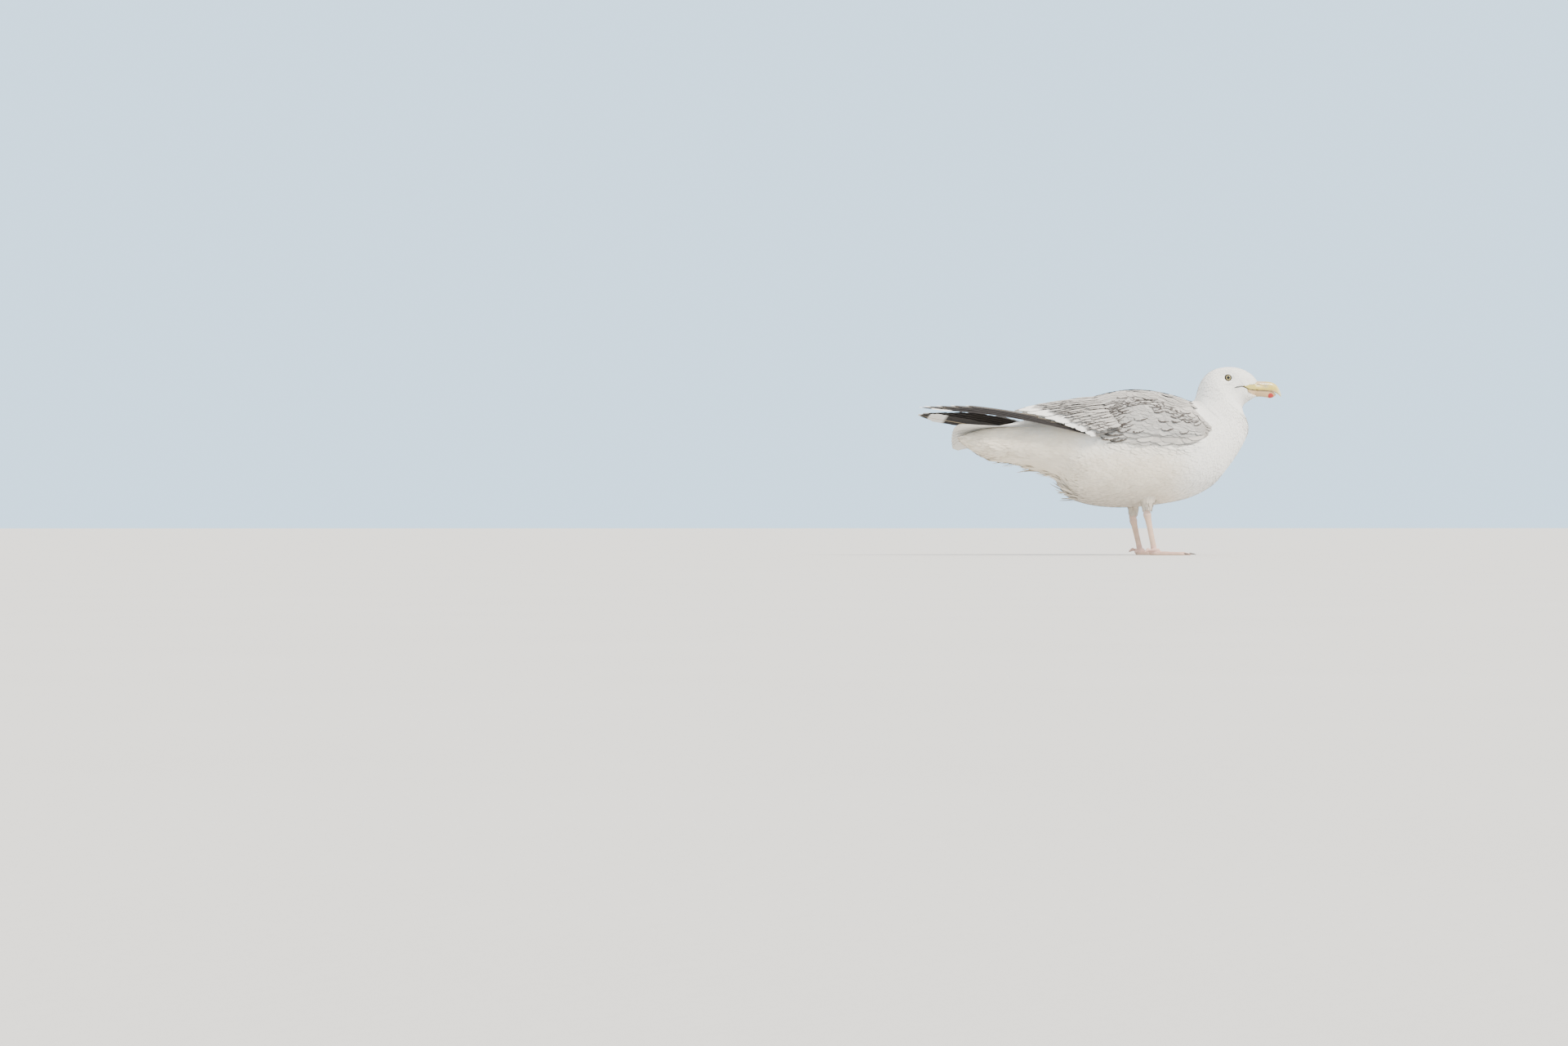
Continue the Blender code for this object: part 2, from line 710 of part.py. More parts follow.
def tarsus_solid(name, ankle, foot, clearance=0.0):
    """The shank, from the ball of the ankle to the foot."""
    fall = (foot - ankle).normalized()
    line = [ankle + fall * (0.4 - clearance)] + [ankle.lerp(foot, share) for share, _ in TARSUS]
    radii = [4.9] + [radius for _, radius in TARSUS]
    return new_object(name, *loft(tube(line, [r + clearance for r in radii], 0.7)), "leg_skin")


def build_legs():
    belly = body_length("belly_seat", LOINS - 1, NECK_ROOT, out=GAP / MM)
    for name, side in SIDES.items():
        leg = LEGS[name]
        knee, ankle, hub = (Vector((p[0], side * p[1], p[2])) for p in (leg.knee, leg.ankle, leg.foot))
        hub.z = 0
        foot = Vector((hub.x, hub.y, TARSUS_FOOT_Z))
        facing = side * leg.turn
        tibia_line = [knee.lerp(ankle, k / 5) for k in range(6)]
        tibia = new_object(f"tibia_{name}", *loft(tube(tibia_line, TIBIA_RADII, 0.95)), "leg_skin")
        cut(tibia, belly)
        cut(tibia, tarsus_solid(f"tarsus_seat_{name}", ankle, foot, GAP / MM))
        tarsus = tarsus_solid(f"tarsus_{name}", ankle, foot)
        cut(tarsus, knob_solid(f"knob_seat_{name}", hub, facing, GAP / MM))
        join(build_foot(name, side, leg), knob_solid(f"knob_{name}", hub, facing))


def main():
    for old in list(bpy.data.objects):
        bpy.data.objects.remove(old)
    rump = build_body()
    build_panels()
    build_feathers()
    build_tail(rump)
    build_legs()


main()
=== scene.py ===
import logging
import math
from dataclasses import astuple, dataclass, replace
from enum import Enum
from functools import partial
from typing import Callable, Sequence

import bmesh
import bpy
import numpy as np
from mathutils import Matrix, Vector
from mathutils.bvhtree import BVHTree


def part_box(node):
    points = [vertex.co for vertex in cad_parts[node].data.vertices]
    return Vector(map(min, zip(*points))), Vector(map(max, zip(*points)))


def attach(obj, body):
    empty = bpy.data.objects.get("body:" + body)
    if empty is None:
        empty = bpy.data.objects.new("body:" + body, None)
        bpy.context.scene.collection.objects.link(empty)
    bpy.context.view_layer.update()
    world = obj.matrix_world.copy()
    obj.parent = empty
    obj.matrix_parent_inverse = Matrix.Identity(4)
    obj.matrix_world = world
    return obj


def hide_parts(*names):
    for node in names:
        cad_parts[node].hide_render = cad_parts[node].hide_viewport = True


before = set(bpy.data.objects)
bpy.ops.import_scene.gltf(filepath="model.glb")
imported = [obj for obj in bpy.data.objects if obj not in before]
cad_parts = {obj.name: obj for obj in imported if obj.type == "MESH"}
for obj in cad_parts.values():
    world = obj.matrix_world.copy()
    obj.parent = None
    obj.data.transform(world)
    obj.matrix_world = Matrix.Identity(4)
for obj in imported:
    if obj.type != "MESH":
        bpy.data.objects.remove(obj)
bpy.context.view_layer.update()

LOG = logging.getLogger("herring_gull")
MM = 0.001
MIDDLE_X = 1.56  # the pattern's own X at the middle of the bird
BODY = "root"
Array = np.ndarray
Pair = tuple[float, float]
Face = Sequence[int]
Node = bpy.types.Node
Socket = bpy.types.NodeSocket
Hollow = tuple[Pair, Pair, float]  # where it is in the side view, its reach and its depth
Line = Callable[[Array], Array]  # angles round the body at places along it
Colouring = Callable[[Array, Array], Array]  # colours at shares along and across a feather


class Side(Enum):
    """The two sides of the bird, as the sign of Y."""

    RIGHT = -1
    LEFT = 1

    @property
    def label(self) -> str:
        """The side's word, as it stands in piece names."""
        return self.name.lower()


# --- small tools ---


def metres(points: Array) -> Array:
    """Points of the pattern, in millimetres, as frame coordinates in metres."""
    return (np.asarray(points, float) - np.array([MIDDLE_X, 0.0, 0.0])) * MM


def unit(vectors: Array) -> Array:
    """The vectors at length 1."""
    return vectors / np.maximum(np.linalg.norm(vectors, axis=-1, keepdims=True), 1e-12)


def squared(vectors: Array, axes: Array) -> Array:
    """The vectors without the part that runs along the axes."""
    return vectors - axes * np.sum(vectors * axes, 1, keepdims=True)


def smoothstep(low: float, high: float, value: Array) -> Array:
    """A smooth rise from 0 at low to 1 at high."""
    share = np.clip((np.asarray(value, float) - low) / (high - low), 0.0, 1.0)
    return share * share * (3 - 2 * share)


def ridge(off: Array, width: float) -> Array:
    """1 where off is 0, falling smoothly to both sides."""
    return np.exp(-((off / width) ** 2))


def hill(x: Array, z: Array, at: Pair, spread: Pair) -> Array:
    """A smooth hill of height 1 at a point of the side view, wide in x and z as given."""
    return np.exp(-(((x - at[0]) / spread[0]) ** 2) - ((z - at[1]) / spread[1]) ** 2)


def catmull_rom(rows: Array, place: Array) -> Array:
    """A table read at fractional places on a smooth curve through its rows.

    Args:
        rows: one row of values for each whole place.
        place: the places to read.

    Returns:
        One row of values for each place.
    """
    rows = np.asarray(rows, float)
    last = len(rows) - 1
    place = np.clip(np.atleast_1d(np.asarray(place, float)), 0, last)
    low = np.minimum(place.astype(int), last - 1)
    f = (place - low)[:, None]
    a, b, c, d = (rows[np.clip(low + k, 0, last)] for k in (-1, 0, 1, 2))
    return b + 0.5 * f * (c - a + f * (2 * a - 5 * b + 4 * c - d + f * (3 * (b - c) + d - a)))


def read_line(share: Array, line: Array) -> Array:
    """The rows of a line at shares of its length."""
    knots = np.linspace(0, 1, len(line))
    return np.stack([np.interp(share, knots, line[:, k]) for k in range(line.shape[1])], -1)


def line_distance(x: Array, z: Array, line: Sequence[Pair]) -> Array:
    """How far points of the side view are from a bent line, in millimetres.

    Args:
        x: the points' x.
        z: the points' z.
        line: the line's corners.

    Returns:
        One distance for each point.
    """
    best = np.full(np.shape(x), np.inf)
    for (ax, az), (bx, bz) in zip(line, line[1:]):
        dx, dz = bx - ax, bz - az
        share = np.clip(((x - ax) * dx + (z - az) * dz) / (dx * dx + dz * dz), 0, 1)
        best = np.minimum(best, np.hypot(x - ax - share * dx, z - az - share * dz))
    return best


def inside(x: Array, z: Array, outline: Sequence[Pair], soft: float) -> Array:
    """Tells which points of the side view lie inside a closed outline.

    Args:
        x: the points' x.
        z: the points' z.
        outline: the corners.
        soft: how soft the edge is, to each side.

    Returns:
        1 inside, 0 outside.
    """
    within = np.zeros(np.shape(x), bool)
    loop = list(outline)
    for (ax, az), (bx, bz) in zip(loop, loop[1:] + loop[:1]):
        crosses = (az > z) != (bz > z)
        at = ax + (z - az) * (bx - ax) / (bz - az if bz != az else 1e-9)
        within ^= crosses & (x < at)
    gap = line_distance(x, z, loop + loop[:1])
    return smoothstep(-soft, soft, np.where(within, gap, -gap))


def blend(colour: Array, other: Sequence[float], share: Array) -> Array:
    """Colours moved towards another by a share each."""
    share = np.asarray(share)[..., None]
    return colour * (1 - share) + np.asarray(other, float) * share


def layered(base: Sequence[float], count: int, *layers: tuple[Sequence[float], Array]) -> Array:
    """A base colour with other colours washed over it in turn.

    Args:
        base: the colour underneath.
        count: how many points are coloured.
        layers: each further colour, with its share at every point.

    Returns:
        One colour for each point.
    """
    colour = np.tile(np.array(base), (count, 1))
    for other, share in layers:
        colour = blend(colour, other, share)
    return colour


def grid_faces(rows: int, columns: int, closed: bool = False, start: int = 0) -> list[Face]:
    """Quads of a grid of points, row by row.

    Args:
        rows: how many rows of points.
        columns: how many points in a row.
        closed: whether each row runs round to its own start.
        start: number of the first point.

    Returns:
        The faces, as point numbers.
    """
    faces = []
    for r in range(rows - 1):
        for c in range(columns if closed else columns - 1):
            d = (c + 1) % columns
            a, b = start + r * columns + c, start + r * columns + d
            faces.append((a, b, b + columns, a + columns))
    return faces


def tube_faces(rows: int, columns: int) -> list[Face]:
    """Faces of a tube of closed rows, with both its ends shut.

    Args:
        rows: how many rows of points.
        columns: how many points in a row.

    Returns:
        The faces, as point numbers.
    """
    last = (rows - 1) * columns
    ends = [tuple(range(columns)), tuple(range(last, last + columns))]
    return grid_faces(rows, columns, closed=True) + ends


def slab_faces(rows: int, columns: int) -> list[Face]:
    """Faces of a thin slab: a grid of upper points, as many lower ones, and the rim between.

    Args:
        rows: how many rows of points.
        columns: how many points in a row.

    Returns:
        The faces, as point numbers.
    """
    count = rows * columns
    faces = grid_faces(rows, columns) + [f[::-1] for f in grid_faces(rows, columns, start=count)]
    rim = list(range(columns)) + [k * columns + columns - 1 for k in range(1, rows)]
    rim += [count - columns + k for k in range(columns - 2, -1, -1)]
    rim += [k * columns for k in range(rows - 2, 0, -1)]
    return faces + [(b, a, a + count, b + count) for a, b in zip(rim, rim[1:] + rim[:1])]


def add_object(name: str, data: bpy.types.ID) -> bpy.types.Object:
    """A new object in the scene.

    Args:
        name: its name.
        data: what it shows.

    Returns:
        The object.
    """
    made = bpy.data.objects.new(name, data)
    bpy.context.scene.collection.objects.link(made)
    return made


def make_mesh(name: str, points: Array, faces: Sequence[Face] = ()) -> bpy.types.Object:
    """A smooth-shaded mesh object from points in metres.

    Args:
        name: its name.
        points: its points.
        faces: its faces, as point numbers.

    Returns:
        The object.
    """
    mesh = bpy.data.meshes.new(name)
    mesh.from_pydata(np.asarray(points, float).tolist(), [], faces)
    mesh.shade_smooth()
    mesh.update()
    return add_object(name, mesh)


def face_outwards(mesh: bpy.types.Mesh) -> None:
    """Turns a closed mesh's faces outwards.

    Args:
        mesh: the mesh.
    """
    shape = bmesh.new()
    shape.from_mesh(mesh)
    bmesh.ops.recalc_face_normals(shape, faces=shape.faces)
    shape.to_mesh(mesh)
    shape.free()


def merged_solid(node: str) -> bmesh.types.BMesh:
    """A CAD node's triangles with their corners joined.

    Args:
        node: the CAD node.

    Returns:
        The joined shape.
    """
    shape = bmesh.new()
    shape.from_mesh(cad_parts[node].data)
    bmesh.ops.remove_doubles(shape, verts=shape.verts, dist=1e-6)
    return shape


def mesh_from(shape: bmesh.types.BMesh, name: str) -> bpy.types.Mesh:
    """The shape as a mesh. The shape itself is freed.

    Args:
        shape: the shape.
        name: the mesh's name.

    Returns:
        The mesh.
    """
    mesh = bpy.data.meshes.new(name)
    shape.to_mesh(mesh)
    shape.free()
    return mesh


def store(mesh: bpy.types.Mesh, name: str, values: Array) -> None:
    """Keeps a number, vector or colour at each point of a mesh.

    Args:
        mesh: the mesh.
        name: the name to keep them by.
        values: one row for each point.
    """
    values = np.asarray(values, np.float32)
    kind, field = ("FLOAT", "value") if values.ndim == 1 else ("FLOAT_VECTOR", "vector")
    mesh.attributes.new(name, kind, "POINT").data.foreach_set(field, values.ravel())


def read_rows(items: bpy.types.bpy_prop_collection, field: str) -> Array:
    """A vector of each of a mesh's points, as rows.

    Args:
        items: the points.
        field: which vector.

    Returns:
        One row for each point.
    """
    out = np.zeros(len(items) * 3, np.float32)
    items.foreach_get(field, out)
    return out.reshape(-1, 3).astype(float)


def write_points(mesh: bpy.types.Mesh, points: Array) -> None:
    """Moves a mesh's points."""
    mesh.vertices.foreach_set("co", np.asarray(points, np.float32).ravel())
    mesh.update()


def plain_copy(source: bpy.types.Object, name: str) -> bpy.types.Object:
    """The object as its modifiers leave it, as a plain mesh, in place of the source.

    Args:
        source: the object with its modifiers.
        name: the new name.

    Returns:
        The plain object.
    """
    bpy.context.view_layer.update()
    graph = bpy.context.evaluated_depsgraph_get()
    mesh = bpy.data.meshes.new_from_object(
        source.evaluated_get(graph), preserve_all_data_layers=True, depsgraph=graph
    )
    old = source.data
    bpy.data.objects.remove(source)
    bpy.data.meshes.remove(old)
    mesh.name = name
    return add_object(name, mesh)


def finish_piece(
    piece: bpy.types.Object, finish: "Finish", nodes: Sequence[str] = ()
) -> None:
    """Gives a piece its material and ties it to the frame.

    Args:
        piece: the finished mesh object.
        finish: what it is made of.
        nodes: the CAD nodes that it stands for.
    """
    piece.data.materials.clear()
    piece.data.materials.append(finish.material())
    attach(piece, BODY)
    if nodes:
        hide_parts(*nodes)
    triangles = sum(len(p.vertices) - 2 for p in piece.data.polygons)
    LOG.info("%s: %d triangles", piece.name, triangles)


# --- colours and markings ---

WHITE = (0.90, 0.875, 0.825)
CREAM = (0.86, 0.745, 0.575)
MANTLE = (0.50, 0.468, 0.43)
COVERT_GREY = (0.43, 0.412, 0.388)
GREATER_GREY = (0.54, 0.505, 0.46)
BEND_GREY = (0.34, 0.305, 0.27)
# near-black edge colour: wear, and painted shadow of the gaps between feathers
EDGE_WEAR_AND_SHADE = (0.045, 0.034, 0.028)
QUILL_BLACK = (0.030, 0.026, 0.025)
HORN_YELLOW = (0.60, 0.46, 0.085)
HORN_OLIVE = (0.46, 0.40, 0.11)
HORN_PINK = (0.56, 0.40, 0.31)
HORN_GREY = (0.26, 0.25, 0.22)
HORN_PALE = (0.72, 0.66, 0.47)
GONYS_RED = (0.42, 0.018, 0.012)
PAINTED_CREVICE_SHADE = (0.055, 0.042, 0.034)
ORBIT_PAINTED_SHADE = (0.026, 0.021, 0.017)
FLESH = (0.66, 0.42, 0.34)
FLESH_YELLOW = (0.62, 0.50, 0.28)
FLESH_DARK = (0.36, 0.22, 0.17)
FLANK_STRAW = (0.70, 0.60, 0.46)
PAINTED_BELLY_SHADE = (0.43, 0.385, 0.33)
VENT_STRAW = (0.72, 0.64, 0.51)
PAINTED_THROAT_SHADE = (0.62, 0.60, 0.56)
LORE_PINK = (0.72, 0.58, 0.52)
CHEEK_GREY = (0.50, 0.46, 0.42)
LOWER_HORN = (0.56, 0.36, 0.24)
LID_SKIN = (0.42, 0.38, 0.33)
PUPIL_BLACK = (0.004, 0.004, 0.004)
IRIS_RIM = (0.035, 0.028, 0.02)
IRIS_PALE = (0.46, 0.385, 0.15)
EYE_BACK = (0.02, 0.018, 0.016)
QUILL_BROWN = (0.052, 0.045, 0.040)
TAIL_WORN = (0.74, 0.70, 0.62)
VANE_EDGE = (0.80, 0.79, 0.77)
ANKLE_SKIN = (0.60, 0.47, 0.38)
SOLE_DARK = (0.33, 0.26, 0.22)
CLAW_ROOT = (0.12, 0.095, 0.08)
CLAW_TIP = (0.03, 0.026, 0.024)

EYE_AT = (184.6, 254.0)  # x and z of the eyes' centres
EYE_OUT = 14.5
EYE_RADIUS = 6.9
NOSTRIL_AT = (232.6, 244.6)
MOUTH_LINE = ((193.5, 239.6), (199.5, 241.1), (205.6, 241.7), (210.5, 239.9), (216.0, 237.6), (232.0, 236.9))
HORN_SIDE = (
    (206.0, 242.4), (212.0, 243.9), (220.0, 244.9), (227.0, 245.6), (232.5, 250.5), (240.0, 250.0),
    (240.0, 236.8), (232.0, 236.9), (216.0, 237.6), (210.5, 239.9),
)
CHIN_SIDE = (
    (212.5, 238.2), (216.0, 237.6), (232.0, 236.9), (240.0, 236.0), (240.0, 226.0), (231.0, 228.6),
    (222.0, 230.6), (214.5, 233.4),
)


class Markings:
    """The bird's colours by place. Skin, feathers and horn all ask here, so they agree."""

    def body(self, points: Array) -> Array:
        """Colours of the white parts, with painted shade under the belly and throat and some painted warm
        sunlight in the flanks' cream.

        Args:
            points: places in the pattern, in millimetres.

        Returns:
            One colour for each point.
        """
        x, z = points[:, 0], points[:, 2]
        flank = smoothstep(175, 120, z) * smoothstep(150, 90, x)
        flank = np.maximum(flank, smoothstep(198, 165, z) * smoothstep(10, -50, x))
        clumps = 0.5 + 0.5 * np.sin(x / 6.5 + 1.7 * np.sin(z / 9.0)) * np.sin(z / 5.0 + x / 17.0)
        return layered(
            WHITE,
            len(points),
            # the flanks' cream: partly the feathers' own tint, partly painted warm sunlight
            (CREAM, 0.8 * flank),
            # straw-coloured patches in wavy clumps over the flanks
            (FLANK_STRAW, 0.50 * flank * clumps),
            # painted shade: the belly's underside darkened as if out of the sun
            (PAINTED_BELLY_SHADE, 0.70 * smoothstep(105, 68, z) * smoothstep(130, 70, x)),
            (VENT_STRAW, 0.35 * smoothstep(-20, -80, x) * smoothstep(150, 120, z)),
            # painted shade on the throat under the lower jaw
            (PAINTED_THROAT_SHADE, 0.45 * hill(x, z, (216, 224), (9, 7))),
            (LORE_PINK, 0.30 * hill(x, z, (218, 250.5), (3.0, 2.0))),
            (CHEEK_GREY, 0.40 * hill(x, z, (EYE_AT[0] + 1, EYE_AT[1] - 7.2), (6.5, 1.2))),
        )

    def face(self, points: Array) -> Array:
        """Colours of the body with the bare parts of the face, and painted shade along the mouth's fold.

        Args:
            points: places in the pattern, in millimetres.

        Returns:
            One colour for each point.
        """
        x, z = points[:, 0], points[:, 2]
        bare = self.horn_share(x, z)[:, None] > 0.5
        colour = np.where(bare, self.horn(points), self.body(points))
        # painted shade along the mouth's fold
        fold = ridge(line_distance(x, z, MOUTH_LINE), 0.75)
        return blend(colour, PAINTED_CREVICE_SHADE, np.where(x < 233, 0.9 * fold, 0.0))

    def horn_share(self, x: Array, z: Array) -> Array:
        """How far a point of the face belongs to the bare base of the bill."""
        return np.maximum(inside(x, z, HORN_SIDE, 0.6), inside(x, z, CHIN_SIDE, 0.6))

    def horn(self, points: Array) -> Array:
        """Colours of the bill, and of its bare base on the face.

        Args:
            points: places in the pattern, in millimetres.

        Returns:
            One colour for each point.
        """
        x, z = points[:, 0], points[:, 2]
        smudge = 0.55 * hill(x, z, (243.5, 243.5), (4.2, 4.0))
        smudge += 0.28 * np.sin(x * 2.3 + z * 0.5) * hill(x, z, (243, 243), (5, 5))
        lower = smoothstep(237.4, 236.4, z) * smoothstep(262, 256, x)
        keel = lower * smoothstep(229.5, 227.0, z) * smoothstep(246, 240, x)
        gonys = hill(x, z, (251.2, 229.2), (4.9, 4.2)) * lower
        gonys += 0.09 * np.sin(1.9 * x + z) * np.sin(1.5 * z)
        mouth = ridge(z - 236.6, 0.5) * smoothstep(258, 250, x) * smoothstep(214, 218, x)
        return layered(
            HORN_YELLOW,
            len(points),
            (HORN_OLIVE, 0.55 * smoothstep(236, 222, x)),
            (HORN_PINK, 0.85 * hill(x, z, (236, 248.5), (9, 3.6))),
            (HORN_GREY, np.clip(smudge, 0, 0.8)),
            (HORN_PALE, 0.7 * smoothstep(258, 265, x)),
            (LOWER_HORN, 0.75 * lower),
            (HORN_GREY, 0.5 * keel),
            (GONYS_RED, smoothstep(0.36, 0.62, gonys)),
            # painted shade along the seam between the mandibles and in the nostril's slit
            (PAINTED_CREVICE_SHADE, 0.75 * mouth),
            (PAINTED_CREVICE_SHADE, smoothstep(0.3, 0.7, hill(x, z, NOSTRIL_AT, (3.6, 0.85)))),
        )

    def wing(self, place: Array, angle: Array, scapular: Array, covert: Array) -> Array:
        """Colours of the folded wing.

        Args:
            place: places along the body.
            angle: angles round it.
            scapular: the angle of the scapulars' lower line at each place.
            covert: the angle of the greater coverts' upper line at each place.

        Returns:
            One colour for each point.
        """
        off = angle - scapular
        return layered(
            MANTLE,
            len(place),
            (COVERT_GREY, smoothstep(-3, 5, off)),
            (GREATER_GREY, smoothstep(-2, 2, angle - covert)),
            (BEND_GREY, 0.8 * smoothstep(13.1, 14.2, place) * smoothstep(-2, 6, off)),
        )

    def wing_fringe(self, place: Array, angle: Array, scapular: Array, chance: Array) -> Array:
        """How dark the edge of each wing feather is: wear, and painted shadow of the gaps between ruffled
        feathers.

        Args:
            place: places along the body.
            angle: angles round it.
            scapular: the angle of the scapulars' lower line at each place.
            chance: a number from 0 to 1 for each feather.

        Returns:
            0 for a clean edge, up to 1 for a dark one.
        """
        off = angle - scapular
        band = ridge(off - 2.0, 4.6) * smoothstep(14.4, 13.6, place)
        field = 0.14 * smoothstep(2, 8, off) * smoothstep(74, 66, angle) * smoothstep(13.8, 13.0, place)
        clean = hill(place, angle, (10.0, 62), (0.9, 9.0))
        rear = 0.7 * smoothstep(9.4, 8.4, place) * smoothstep(24, 34, angle)
        mantle = 0.03 * smoothstep(0, -6, off)
        share = np.clip(0.85 * band + field + rear, 0, 0.9) * (1 - 0.85 * clean) + mantle
        return np.where(chance < share, 1 - 0.2 * chance, 0.12 * chance)


MARKINGS = Markings()


# --- finishes ---


class Board:
    """Adds and joins the nodes of one tree."""

    def __init__(self, tree: bpy.types.NodeTree) -> None:
        """Keeps the tree."""
        self.tree = tree

    def add(self, kind: str, plugs: dict[int | str, object] | None = None, **settings: object) -> Node:
        """A new node.

        Args:
            kind: its type.
            plugs: what each input gets, a socket or a value, by the input's name or number.
            settings: the node's own settings.

        Returns:
            The node.
        """
        node = self.tree.nodes.new(kind)
        for key, value in settings.items():
            setattr(node, key, value)
        for key, value in (plugs or {}).items():
            self.plug(node, key, value)
        return node

    def plug(self, node: Node, key: int | str, value: object) -> None:
        """Gives a node's input a value, or joins it to a socket.

        Args:
            node: the node.
            key: the input's name or number.
            value: a value or a socket.
        """
        if isinstance(key, int):
            socket = node.inputs[key]
        else:
            socket = next(s for s in node.inputs if s.name == key and s.enabled)
        if isinstance(value, bpy.types.NodeSocket):
            self.tree.links.new(value, socket)
        else:
            socket.default_value = value

    def maths(self, operation: str, *values: object) -> Socket:
        """The result of a calculation with numbers or sockets."""
        return self.add("ShaderNodeMath", dict(enumerate(values)), operation=operation).outputs[0]

    def vector(self, operation: str, first: object, second: object) -> Socket:
        """The result of a calculation with vectors, or of scaling one."""
        last = "Scale" if operation == "SCALE" else 1
        return self.add("ShaderNodeVectorMath", {0: first, last: second}, operation=operation).outputs[0]


class MaterialBoard(Board):
    """The nodes of one material."""

    def __init__(self, name: str) -> None:
        """Starts a material with its shader and nothing else.

        Args:
            name: the material's name.
        """
        self.material = bpy.data.materials.new(name)
        self.material.use_nodes = True
        super().__init__(self.material.node_tree)
        self.shader = self.tree.nodes["Principled BSDF"]

    def shade(self, **values: object) -> None:
        """Gives the shader's inputs values or sockets, by name with _ for a space."""
        for key, value in values.items():
            self.plug(self.shader, key.replace("_", " "), value)

    def attribute(self, name: str, output: str) -> Socket:
        """A value kept on the mesh."""
        return self.add("ShaderNodeAttribute", attribute_name=name).outputs[output]

    def here(self) -> Socket:
        """The place in the object's own space."""
        return self.add("ShaderNodeTexCoord").outputs["Object"]

    def fit(self, value: Socket, low: float, high: float, to_low: float, to_high: float) -> Socket:
        """A value moved from one range to another, and held to it."""
        ends = {"From Min": low, "From Max": high, "To Min": to_low, "To Max": to_high}
        return self.add("ShaderNodeMapRange", {"Value": value, **ends}).outputs["Result"]

    def vary(self, value: Socket, low: float, amount: float, up: float = 0.6) -> Socket:
        """Noise as a factor from 1 less the amount to 1 and a share of the amount."""
        return self.fit(value, low, 1 - low, 1 - amount, 1 + up * amount)

    def noise(
        self, scale: float, detail: float = 4.0, where: Socket | None = None, rough: float = 0.55
    ) -> Socket:
        """Noise from 0 to 1 in the object's own space, or at a given place."""
        plugs = {"Vector": where or self.here(), "Scale": scale, "Detail": detail, "Roughness": rough}
        return self.add("ShaderNodeTexNoise", plugs).outputs["Fac"]

    def mix(self, share: Socket, first: object, second: tuple[float, ...]) -> Socket:
        """A colour moved towards another by a share.

        Args:
            share: how far, from 0 to 1.
            first: the colour, or a socket with it.
            second: the other colour.

        Returns:
            The mixed colour.
        """
        if isinstance(first, tuple):
            first = (*first, 1.0)
        plugs = {"Factor": share, "A": first, "B": (*second, 1.0)}
        node = self.add("ShaderNodeMix", plugs, data_type="RGBA")
        return next(s for s in node.outputs if s.enabled)

    def bump(self, height: Socket, depth: float) -> None:
        """Raises the surface by a height of up to depth metres."""
        bump = self.add("ShaderNodeBump", {"Height": height, "Distance": depth, "Strength": 1.0})
        self.shade(Normal=bump.outputs["Normal"])


@dataclass(frozen=True)
class Finish:
    """A surface whose colour is kept on the mesh, with mottling, grain and relief.

    Scales are in waves per metre and depth in metres.
    """

    name: str
    roughness: float
    mottle: float
    mottle_scale: float
    grain: float
    grain_scale: float
    depth: float
    sheen: float = 0.0
    coat: float = 0.0
    specular: float = 0.5
    gloss_width: float = 0.12
    uneven: float = 0.07  # how far the roughness swings

    def material(self) -> bpy.types.Material:
        """The material, made once and then shared.

        Returns:
            The material.
        """
        found = bpy.data.materials.get(self.name)
        if found:
            return found
        board = MaterialBoard(self.name)
        board.shade(
            Sheen_Weight=self.sheen,
            Sheen_Roughness=0.6,
            Coat_Weight=self.coat,
            Coat_Roughness=self.gloss_width,
            Specular_IOR_Level=self.specular,
        )
        self.dress(board)
        return board.material

    def roughen(self, board: MaterialBoard, grain: Socket) -> None:
        """Lets the roughness swing with the grain."""
        low, high = self.roughness - self.uneven, self.roughness + self.uneven
        board.shade(Roughness=board.fit(grain, 0.3, 0.7, low, high))

    def dress(self, board: MaterialBoard) -> None:
        """Adds the colour, roughness and relief.

        Args:
            board: the material's nodes.
        """
        fine = board.noise(self.grain_scale, 5.0, rough=0.65)
        broad = board.vary(board.noise(self.mottle_scale), 0.3, self.mottle)
        shade = board.maths("MULTIPLY", broad, board.vary(fine, 0.3, self.grain))
        board.shade(Base_Color=board.vector("SCALE", board.attribute("tint", "Color"), shade))
        self.roughen(board, fine)
        board.bump(self.relief(board, fine), self.depth)

    def relief(self, board: MaterialBoard, fine: Socket) -> Socket:
        """The height of the surface from 0 to 1."""
        return fine


